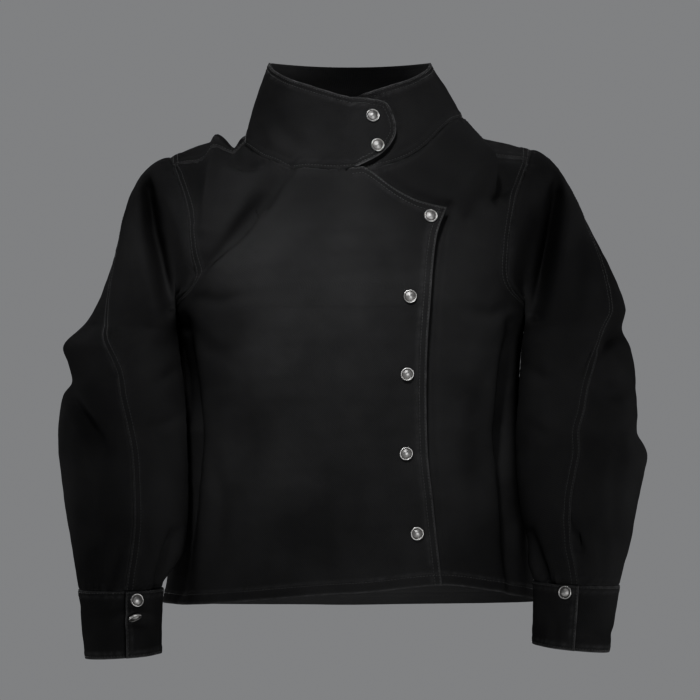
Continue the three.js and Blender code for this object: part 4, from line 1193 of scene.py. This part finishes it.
def denim(name, dark, faded_and_highlit, lit_reverse, patches):
    material = bpy.data.materials.new(name)
    material.use_nodes = True
    tree = material.node_tree
    surface = tree.nodes["Principled BSDF"]
    cloth_uv = add(tree, "ShaderNodeUVMap", uv_map="cloth").outputs["UV"]
    place = add(tree, "ShaderNodeTexCoord").outputs["Object"]
    edges = add(tree, "ShaderNodeAttribute", attribute_name="wear_and_rim_highlight").outputs["Fac"]
    weave = add(tree, "ShaderNodeGroup", node_tree=TWILL)
    tree.links.new(cloth_uv, weave.inputs["Cloth"])
    worn_and_highlit = add(tree, "ShaderNodeGroup", node_tree=FADE_AND_HIGHLIGHT)
    worn_and_highlit.inputs["Patches"].default_value = patches
    tree.links.new(place, worn_and_highlit.inputs["Place"])
    tree.links.new(edges, worn_and_highlit.inputs["Edges"])
    # Mixes towards the faded colour in soft patches, and along the edges, where the lightening is partly wear
    # and partly a painted highlight
    shade = add(tree, "ShaderNodeMix", data_type="RGBA")
    tree.links.new(worn_and_highlit.outputs["Fade"], shade.inputs["Factor"])
    shade.inputs["A"].default_value = (*dark, 1)
    shade.inputs["B"].default_value = (*faded_and_highlit, 1)
    # The cloth's reverse is painted lighter: painted light, standing in for the light that falls into the
    # collar's inside
    side = add(tree, "ShaderNodeMix", data_type="RGBA")
    on_reverse = add(tree, "ShaderNodeAttribute", attribute_name="lit_reverse").outputs["Fac"]
    tree.links.new(on_reverse, side.inputs["Factor"])
    tree.links.new(shade.outputs["Result"], side.inputs["A"])
    side.inputs["B"].default_value = (*lit_reverse, 1)
    fleck = add(tree, "ShaderNodeMapRange", {"Value": weave.outputs["Fleck"], "To Min": 0.55, "To Max": 1.45})
    tone = add(tree, "ShaderNodeMix", {"Factor": 1.0}, data_type="RGBA", blend_type="MULTIPLY")
    tree.links.new(side.outputs["Result"], tone.inputs["A"])
    tree.links.new(fleck.outputs[0], tone.inputs["B"])
    tree.links.new(tone.outputs["Result"], surface.inputs["Base Color"])
    rough = add(tree, "ShaderNodeMapRange", {"Value": worn_and_highlit.outputs["Fade"], "To Min": 0.86, "To Max": 0.97})
    tree.links.new(rough.outputs[0], surface.inputs["Roughness"])
    relief = {"Height": weave.outputs["Height"], "Strength": 0.35, "Distance": 0.0004}
    tree.links.new(add(tree, "ShaderNodeBump", relief).outputs[0], surface.inputs["Normal"])
    surface.inputs["Specular IOR Level"].default_value = 0.0
    return material


def cap_metal():
    material = bpy.data.materials.new("nickel cap")
    material.use_nodes = True
    tree = material.node_tree
    surface = tree.nodes["Principled BSDF"]
    place = add(tree, "ShaderNodeTexCoord").outputs["Object"]
    recess_shade = add(tree, "ShaderNodeAttribute", attribute_name="recess_shade").outputs["Fac"]
    # Darker and rougher in the cap's groove, at its foot and towards its middle: painted shade from the
    # recess attribute, with tarnish mottled over it
    darkening = calc(tree, "ADD", recess_shade, calc(tree, "MULTIPLY", noise(tree, place, 420.0, 4.0), 0.5))
    shade = add(tree, "ShaderNodeMix", data_type="RGBA")
    tree.links.new(darkening, shade.inputs["Factor"])
    shade.inputs["A"].default_value = (0.5, 0.495, 0.485, 1)
    shade.inputs["B"].default_value = (0.06, 0.058, 0.056, 1)
    tree.links.new(shade.outputs["Result"], surface.inputs["Base Color"])
    rough = add(tree, "ShaderNodeMapRange", {"Value": darkening, "To Min": 0.2, "To Max": 0.55})
    tree.links.new(rough.outputs[0], surface.inputs["Roughness"])
    scuffs = {"Height": noise(tree, place, 900.0), "Strength": 0.2, "Distance": 0.0002}
    tree.links.new(add(tree, "ShaderNodeBump", scuffs).outputs[0], surface.inputs["Normal"])
    surface.inputs["Metallic"].default_value = 1.0
    return material


def thread_cotton():
    material = bpy.data.materials.new("black thread")
    material.use_nodes = True
    tree = material.node_tree
    surface = tree.nodes["Principled BSDF"]
    place = add(tree, "ShaderNodeTexCoord").outputs["Object"]
    tones = {"Value": noise(tree, place, 60.0), "To Min": 0.006, "To Max": 0.016}
    tree.links.new(add(tree, "ShaderNodeMapRange", tones).outputs[0], surface.inputs["Base Color"])
    fibres = {"Height": noise(tree, place, 1500.0), "Strength": 0.3, "Distance": 0.0001}
    tree.links.new(add(tree, "ShaderNodeBump", fibres).outputs[0], surface.inputs["Normal"])
    surface.inputs["Roughness"].default_value = 0.8
    return material


BLACK_DENIM = denim(
    "black denim",
    dark=(0.0072, 0.0072, 0.0074),
    # The faded colour also serves as the painted highlight along the edges
    faded_and_highlit=(0.06, 0.06, 0.061),
    # The reverse is painted lighter than the face, as painted light for the collar's lit inside
    lit_reverse=(0.024, 0.024, 0.0245),
    patches=0.3,
)
NICKEL = cap_metal()
THREAD = thread_cotton()

# Cutting and finishing each piece

# Rows of the fronts and the back: 0 is the hem, 1 the armpit, 2 where they start to lean to the shoulder, and
# 3 their top
HEM_BAND = 18
BELOW_ARMPIT = HEM_MIDDLE - ARMPIT
BODY_RISES = np.unique(
    np.concatenate(
        [
            np.arange(0, HEM_BAND, 0.9) / BELOW_ARMPIT,
            np.linspace(HEM_BAND / BELOW_ARMPIT, 1, 104),
            np.linspace(1, 2, 8),
            np.linspace(2, 2.93, 64),
            np.linspace(2.93, 3, 15),
        ]
    )
)

# Corners of the top edges: how far on from the side seam, as a share, and how far from the middle
BESIDE_NECK = NECK_X - 11
FRONT_RIGHT_STOPS = [
    (0, front_tip(-1)),
    (6 / 24, -NECK_X),
    (8 / 24, -BESIDE_NECK),
    (16 / 24, LAPEL["x"][0]),
    (1, LAPEL["x"][-1]),
]
FRONT_LEFT_STOPS = [
    (0, front_tip(1)),
    (8 / 17, NECK_X),
    (10 / 17, BESIDE_NECK),
    (1, UNDER_EDGE_X),
]
BACK_STOPS = [
    LEFT_SHOULDER_COLUMNS / BACK_COLUMNS,
    (BACK_COLUMNS - RIGHT_SHOULDER_COLUMNS) / BACK_COLUMNS,
]

front_right_grid = front(
    -1,
    with_stops(spread(340, 12, 12), [share for share, _ in FRONT_RIGHT_STOPS[1:-1]]),
    BODY_RISES,
    FRONT_RIGHT_STOPS,
    lambda down: read(FRONT_EDGE, "down", "x", down),
    True,
)
front_left_grid = front(
    1,
    with_stops(spread(230, 12, 12), [share for share, _ in FRONT_LEFT_STOPS[1:-1]]),
    BODY_RISES,
    FRONT_LEFT_STOPS,
    lambda down: UNDER_EDGE_X + 0.0 * down,
    False,
)
back_grid = back(with_stops(spread(440, 12, 12, coarse=3.2), BACK_STOPS), BODY_RISES)

# Rows of topstitching, by their distances from an edge
DOUBLE = (2.0, 7.5)
SINGLE = (2.2,)
HEM_ROW = (11.0,)
BAND_ROWS = (2.6, 6.5)

# Shares of an edge where its finish changes: the armpit on the panels' sides, the end of the neckline on the
# right front's top, and the start of the tab's rounded end on the collar
ARMPIT_SHARE = 0.58
NECK_SHARE = 0.69
TAB_SHARE = 0.94

# On every piece, the wear painted along edges and hems is partly a painted highlight for the light that
# catches them
front_right = panel(front_right_grid)
seam(front_right, "first", DOUBLE, 9, 0.7, span=(ARMPIT_SHARE, 1.0), pucker=0.25, wear_and_rim_highlight=0.15)
seam(front_right, "first", span=(0.0, ARMPIT_SHARE), drop=0.7, wear_and_rim_highlight=0.1)
seam(front_right, "last", DOUBLE, 10, 0.6, drop=0.3, pucker=0.12, wear_and_rim_highlight=0.5)
seam(front_right, "start", HEM_ROW, 13, 0.6, drop=0.3, pucker=0.25, wear_and_rim_highlight=0.6)
seam(front_right, "end", DOUBLE, 10, 0.6, drop=0.3, pucker=0.12, wear_and_rim_highlight=0.5, span=(NECK_SHARE, 1.0))
seam(front_right, "end", turned=7, pucker=1.3, drop=0.7, wear_and_rim_highlight=0.15, span=(0.0, NECK_SHARE))

front_left = panel(front_left_grid)
seam(front_left, "last", DOUBLE, 9, 0.7, span=(ARMPIT_SHARE, 1.0), pucker=0.25, wear_and_rim_highlight=0.15)
seam(front_left, "last", span=(0.0, ARMPIT_SHARE), drop=0.7, wear_and_rim_highlight=0.1)
seam(front_left, "start", HEM_ROW, 13, 0.6, drop=0.3, pucker=0.25, wear_and_rim_highlight=0.6)
seam(front_left, "end", turned=7, pucker=0.5, drop=0.9)

back_piece = panel(back_grid)
seam(back_piece, "first", DOUBLE, 9, 0.7, span=(ARMPIT_SHARE, 1.0), pucker=0.25, wear_and_rim_highlight=0.15)
seam(back_piece, "last", DOUBLE, 9, 0.7, span=(ARMPIT_SHARE, 1.0), pucker=0.25, wear_and_rim_highlight=0.15)
seam(back_piece, "first", span=(0.0, ARMPIT_SHARE), drop=0.7, wear_and_rim_highlight=0.1)
seam(back_piece, "last", span=(0.0, ARMPIT_SHARE), drop=0.7, wear_and_rim_highlight=0.1)
seam(back_piece, "start", HEM_ROW, 13, 0.6, drop=0.3, pucker=0.25, wear_and_rim_highlight=0.6)
seam(back_piece, "end", SINGLE, 8, 0.5, drop=0.7, pucker=0.3)

collar_shares = spread(600, 12, 14)
collar_piece = panel(collar(collar_shares, spread(105, 10, 8, coarse=2.6)))
tab_start = int(np.searchsorted(collar_shares, TAB_SHARE))
# The collar's top edge and the tab's rim are painted lightest: partly wear, and partly a painted highlight
# for the light catching them
seam(collar_piece, "end", BAND_ROWS, 8, 0.4, drop=0.3, pucker=0.15, wear_and_rim_highlight=1.0, span=(0.02, TAB_SHARE))
round_end(collar_piece, tab_start, BAND_ROWS, 8, 0.4, 0.3, 1.0)
seam(collar_piece, "start", SINGLE, 6, 0.3, drop=0.5, pucker=0.4, wear_and_rim_highlight=0.2, span=(0.0, 0.8))
seam(collar_piece, "start", SINGLE, 6, 0.3, drop=0.5, pucker=1.7, wear_and_rim_highlight=0.2, span=(0.8, 0.905))
seam(collar_piece, "start", turned=6, lift=0.3, pucker=0.3, wear_and_rim_highlight=0.2, span=(0.905, TAB_SHARE))
# The layer below sinks a little along the tab's edge
tab_edge = round_edge(collar_piece, tab_start)[0]
is_below = collar_shares < 0.15
below_tab = collar_piece["grid"][is_below][:, :, None]
beyond = np.hypot(below_tab[..., 0] - tab_edge[:, 0], below_tab[..., 2] - tab_edge[:, 2]).min(axis=-1)
collar_piece["raise"][is_below] -= 4.0 * bell(beyond - 2, 4)

# Each piece, the creases on it in front and behind, and the thickness of its solid
PIECES = {
    "front_right": (front_right, "front", "back", CLOTH),
    "front_left": (front_left, "under front", "back", CLOTH),
    "back": (back_piece, "front", "back", CLOTH),
    "collar": (collar_piece, "collar front", "collar back", BAND),
}

SEAM_BAND = 10  # how far from a sleeve's ends its rows lie close together
CAP_LENGTH = 160  # from the armhole to the sleeve's first section

for name, side in (("right", -1), ("left", 1)):
    front_edge = front_right_grid[0] if side < 0 else front_left_grid[-1]
    back_edge = back_grid[-1] if side < 0 else back_grid[0]
    edge = armhole(front_edge, back_edge)
    first_down, last_down = SLEEVE[name]["rows"]["down"][[0, -2]]
    at_seam = np.arange(0, SEAM_BAND, FINE) / CAP_LENGTH
    cap = np.unique(np.concatenate([at_seam, np.linspace(SEAM_BAND / CAP_LENGTH, 1, 56)]))[:-1]
    on_arm = np.linspace(first_down, last_down - SEAM_BAND, 96)
    at_cuff = np.arange(last_down, last_down - SEAM_BAND, -FINE)
    downs = np.unique(np.concatenate([on_arm, at_cuff]))
    for part, upper in (("upper", True), ("under", False)):
        grid = sleeve_piece(side, name, edge, spread(250, 12, 12), cap, downs, upper)
        grid = grid if side > 0 else grid[::-1]
        sleeve = panel(grid)
        elbow = ("first" if side > 0 else "last") if upper else ("last" if side > 0 else "first")
        below = "last" if elbow == "first" else "first"
        if upper:
            seam(sleeve, elbow, DOUBLE, 9, 0.6, pucker=0.3, wear_and_rim_highlight=0.25)
        else:
            seam(sleeve, elbow, drop=0.8, wear_and_rim_highlight=0.15)
        seam(sleeve, below, drop=0.7, wear_and_rim_highlight=0.2)
        seam(sleeve, "start", turned=4, drop=0.9, pucker=0.5, wear_and_rim_highlight=0.15)
        seam(sleeve, "end", turned=6, drop=0.7, pucker=0.7, wear_and_rim_highlight=0.15)
        PIECES[f"sleeve_{part}_{name}"] = (sleeve, f"{name} sleeve front", f"{name} sleeve back", CLOTH)
    grid = cuff(side, name, spread(330, 10, 10, coarse=2.4), spread(69, 8, 10, coarse=2.3))
    band = panel(grid if side > 0 else grid[::-1])
    free = "first" if side > 0 else "last"
    # The cuff's edges are painted light: partly wear, and partly a painted highlight for the light catching
    # them
    seam(band, free, SINGLE, 6, 0.5, drop=0.3, wear_and_rim_highlight=0.9)
    seam(band, "start", SINGLE, 6, 0.4, drop=0.6, pucker=0.3, wear_and_rim_highlight=0.6)
    seam(band, "end", BAND_ROWS[:1], 6, 0.4, drop=0.3, pucker=0.2, wear_and_rim_highlight=1.0)
    PIECES[f"cuff_{name}"] = (band, "cuffs", "cuffs", BAND)

# Turnings: how far each runs on behind the piece it is sewn to, and how far it sinks on the way
SEWN = (3.0, 1.4)
INTO_CUFF = (6.0, 1.2)
on_neck = collar_shares < 0.93
TURNINGS = {
    "front_right": [("first", *SEWN)],
    "front_left": [("last", *SEWN)],
    "back": [("first", *SEWN), ("last", *SEWN), ("end", *SEWN)],
    "collar": [("start", np.where(on_neck, 4.0, 0.2), np.where(on_neck, 1.6, 0.2))],
}
for name in ("right", "left"):
    ends = [("start", *SEWN), ("end", *INTO_CUFF)]
    TURNINGS["sleeve_upper_" + name] = ends
    TURNINGS["sleeve_under_" + name] = [*ends, ("first", *SEWN), ("last", *SEWN)]
    TURNINGS["cuff_" + name] = [("start", 1.5, 6.0)]

for name, (piece, ahead, behind, thickness) in PIECES.items():
    settle(piece, ahead, behind)
    obj = shell("cloth_" + name, piece, thickness - RELIEF, BLACK_DENIM, TURNINGS[name])
    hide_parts(name)

# Topstitching


def stitching_tree():
    """Lays a stitch at even steps along each path, turned to lie flat on the cloth."""
    tree = bpy.data.node_groups.new("topstitching", "GeometryNodeTree")
    sockets = tree.interface
    sockets.new_socket("Paths", in_out="INPUT", socket_type="NodeSocketGeometry")
    for key, value in (("Step", STITCH_STEP), ("Length", STITCH_LENGTH), ("Radius", STITCH_RADIUS)):
        socket = sockets.new_socket(key, in_out="INPUT", socket_type="NodeSocketFloat")
        socket.default_value = value * MM
    sockets.new_socket("Thread", in_out="INPUT", socket_type="NodeSocketMaterial")
    sockets.new_socket("Stitches", in_out="OUTPUT", socket_type="NodeSocketGeometry")
    given, made = tree.nodes.new("NodeGroupInput"), tree.nodes.new("NodeGroupOutput")
    paths = add(tree, "GeometryNodeMeshToCurve", {"Mesh": given.outputs["Paths"]})
    even = {"Curve": paths.outputs[0], "Length": given.outputs["Step"]}
    steps = add(tree, "GeometryNodeResampleCurve", even, mode="LENGTH")
    ball = add(tree, "GeometryNodeMeshUVSphere", {"Segments": 6, "Rings": 4, "Radius": 1.0})
    size = add(
        tree,
        "ShaderNodeCombineXYZ",
        {
            "X": calc(tree, "MULTIPLY", given.outputs["Length"], 0.5),
            "Y": given.outputs["Radius"],
            "Z": given.outputs["Radius"],
        },
    )
    stitch = add(tree, "GeometryNodeTransform", {"Geometry": ball.outputs["Mesh"], "Scale": size.outputs[0]})
    tangent = add(tree, "GeometryNodeInputTangent")
    out = add(tree, "GeometryNodeInputNamedAttribute", {"Name": "out"}, data_type="FLOAT_VECTOR")
    turn = add(
        tree,
        "FunctionNodeAxesToRotation",
        {"Primary Axis": tangent.outputs[0], "Secondary Axis": out.outputs[0]},
        primary_axis="X",
        secondary_axis="Z",
    )
    laid = add(
        tree,
        "GeometryNodeInstanceOnPoints",
        {"Points": steps.outputs[0], "Instance": stitch.outputs[0], "Rotation": turn.outputs[0]},
    )
    real = add(tree, "GeometryNodeRealizeInstances", {"Geometry": laid.outputs[0]})
    sewn = {"Geometry": real.outputs[0], "Material": given.outputs["Thread"]}
    painted = add(tree, "GeometryNodeSetMaterial", sewn)
    tree.links.new(painted.outputs[0], made.inputs[0])
    return tree


def topstitching():
    """Sews every piece's rows, and makes the stitches one mesh."""
    points, ways, edges = [], [], []
    for piece, *_ in PIECES.values():
        lines = [beside(piece, *row) for row in piece["rows"]]
        lines += [beside_end(piece, *row) for row in piece["ends"]]
        for path, out in lines:
            start = sum(map(len, points))
            points.append(path + out * THREAD_LIFT)
            ways.append(out)
            edges += [(start + i, start + i + 1) for i in range(len(path) - 1)]
    mesh = bpy.data.meshes.new("stitch paths")
    mesh.from_pydata((np.concatenate(points) * MM).tolist(), edges, [])
    out = mesh.attributes.new("out", "FLOAT_VECTOR", "POINT")
    out.data.foreach_set("vector", np.concatenate(ways).ravel())
    rows = bpy.data.objects.new("stitch paths", mesh)
    bpy.context.collection.objects.link(rows)
    tree = stitching_tree()
    modifier = rows.modifiers.new("stitches", "NODES")
    modifier.node_group = tree
    for socket in tree.interface.items_tree:
        if socket.in_out == "INPUT" and socket.name == "Thread":
            modifier[socket.identifier] = THREAD
    bpy.context.view_layer.update()
    seen = rows.evaluated_get(bpy.context.evaluated_depsgraph_get())
    made = bpy.data.meshes.new_from_object(seen)
    made.name = "topstitching"
    bpy.data.objects.remove(rows)
    obj = place(bpy.data.objects.new("topstitching", made))


topstitching()

# Press studs

# The cap's outline from its foot to its middle: distance from the axis, height, and how much painted shade
# darkens it there, most in the groove inside its rim
CAP = [
    (6.7, 0.0, 0.5),
    (7.05, 0.3, 0.35),
    (7.1, 0.9, 0.15),
    (6.95, 1.6, 0.0),
    (6.6, 2.05, 0.0),
    (6.2, 2.1, 0.1),
    (5.8, 1.85, 0.5),
    (5.45, 1.45, 0.9),
    (5.0, 1.3, 0.85),
    (4.3, 1.5, 0.6),
    (3.3, 2.05, 0.4),
    (2.1, 2.6, 0.3),
    (1.1, 2.9, 0.2),
]
CAP_TOP = 3.05
CAP_SIDES = 48


def stud(name, piece, x, down, nod):
    """Sets a cap square to the cloth, at a distance from the middle and a height as seen from the front, on
    the layer nearest to the camera. nod tilts it, in degrees."""
    grid, out = piece["grid"], piece["out"]
    away = np.hypot(grid[..., 0] - x, grid[..., 2] + down)
    near_y = np.where(away < 6, grid[..., 1], np.inf).min()
    away = np.where(grid[..., 1] < near_y + 2.6, away, np.inf)
    i, j = np.unravel_index(np.argmin(away), away.shape)
    near = slice(max(i - 2, 0), i + 3), slice(max(j - 2, 0), j + 3)
    axis = unit(out[near].mean(axis=(0, 1)))
    foot = grid[i, j] + np.array([x - grid[i, j, 0], 0, -down - grid[i, j, 2]])
    foot[1] -= (foot - grid[i, j]) @ axis / axis[1]
    axis = np.array(Matrix.Rotation(np.radians(nod), 3, "X") @ Vector(axis))
    right = unit(np.cross([0, 0, 1.0], axis))
    upward = np.cross(axis, right)
    angles = np.linspace(0, 2 * np.pi, CAP_SIDES, endpoint=False)
    rings = [
        foot + axis * (SEAM + h) + r * (np.cos(angles)[:, None] * right + np.sin(angles)[:, None] * upward)
        for r, h, _ in CAP
    ]
    points = np.concatenate([*rings, [foot + axis * SEAM], [foot + axis * (SEAM + CAP_TOP)]])
    under, top = len(points) - 2, len(points) - 1
    faces = []
    for ring in range(len(CAP) - 1):
        for k in range(CAP_SIDES):
            a, b = ring * CAP_SIDES + k, ring * CAP_SIDES + (k + 1) % CAP_SIDES
            faces.append((a, b, b + CAP_SIDES, a + CAP_SIDES))
    last = (len(CAP) - 1) * CAP_SIDES
    for k in range(CAP_SIDES):
        faces.append((under, (k + 1) % CAP_SIDES, k))
        faces.append((last + k, last + (k + 1) % CAP_SIDES, top))
    mesh = bpy.data.meshes.new("cap_" + name)
    mesh.from_pydata((points * MM).tolist(), [], faces)
    # The painted shade of each ring, and of the middles below and on top
    darkening = np.concatenate([np.repeat([g for *_, g in CAP], CAP_SIDES), [0.5, 0.0]])
    mesh.attributes.new("recess_shade", "FLOAT", "POINT").data.foreach_set("value", darkening)
    mesh.shade_smooth()
    mesh.materials.append(NICKEL)
    obj = place(bpy.data.objects.new("cap_" + name, mesh))
    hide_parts("stud_" + name)


# Where each cap sits: its node, its piece, its distance from the middle, its height and its tilt
STUDS = [
    ("front_1", "front_right", 84.5, 91.5, 0),
    ("front_2", "front_right", 62.5, 176, 0),
    ("front_3", "front_right", 59.5, 257, 0),
    ("front_4", "front_right", 58.5, 340, 0),
    ("front_5", "front_right", 70, 424, 0),
    ("collar_1", "collar", 23.8, -15.5, 0),
    ("collar_2", "collar", 29, 16, 0),
    ("cuff_right_1", "cuff_right", -222.1, 492.7, 0),
    ("cuff_right_2", "cuff_right", -224.2, 509.5, 42),
    ("cuff_left_1", "cuff_left", 224.2, 484.5, 0),
]
for name, piece, x, down, nod in STUDS:
    stud(name, PIECES[piece][0], x, down, nod)

# Studio


FLOOR = {"radius": 6.5, "height": -1.35, "sides": 64}


def floor():
    mesh = bpy.data.meshes.new("floor")
    angles = np.linspace(0, 2 * np.pi, FLOOR["sides"], endpoint=False)
    rim = [(FLOOR["radius"] * np.cos(a), FLOOR["radius"] * np.sin(a), FLOOR["height"]) for a in angles]
    mesh.from_pydata(rim, [], [tuple(range(FLOOR["sides"]))])
    paint = bpy.data.materials.new("pale floor")
    paint.use_nodes = True
    surface = paint.node_tree.nodes["Principled BSDF"]
    surface.inputs["Base Color"].default_value = (0.6, 0.6, 0.6, 1)
    surface.inputs["Roughness"].default_value = 0.9
    mesh.materials.append(paint)
    obj = bpy.data.objects.new("floor", mesh)
    bpy.context.collection.objects.link(obj)


def soft_light(name, at, size, power, aim=(0, 0, -0.2), spread=180):
    lamp = bpy.data.lights.new(name, "AREA")
    lamp.shape = "RECTANGLE"
    lamp.size, lamp.size_y = size
    lamp.energy = power
    lamp.spread = np.radians(spread)
    obj = bpy.data.objects.new(name, lamp)
    obj.location = at
    obj.rotation_euler = (Vector(aim) - Vector(at)).to_track_quat("-Z", "Y").to_euler()
    bpy.context.collection.objects.link(obj)


floor()
soft_light("key", (-0.25, -1.2, 1.1), (0.3, 0.25), 0.85, aim=(-0.03, -0.12, -0.14), spread=14.5)
soft_light("fill", (1.2, -2.8, -1.0), (1.6, 1.2), 52, aim=(0, 0, -0.5))
soft_light("top", (0.0, 1.1, 1.9), (1.6, 0.6), 60)
soft_light("back fill", (-1.6, 2.8, 0.8), (2.0, 1.6), 60)
soft_light("right side", (-3.0, 0.9, 0.5), (1.4, 1.6), 70)
soft_light("left side", (3.0, 0.9, 0.5), (1.4, 1.6), 70)
world = bpy.context.scene.world or bpy.data.worlds.new("studio")
bpy.context.scene.world = world
world.use_nodes = True
background = world.node_tree.nodes["Background"]
background.inputs["Color"].default_value = (0.72, 0.73, 0.75, 1)
background.inputs["Strength"].default_value = 0.3
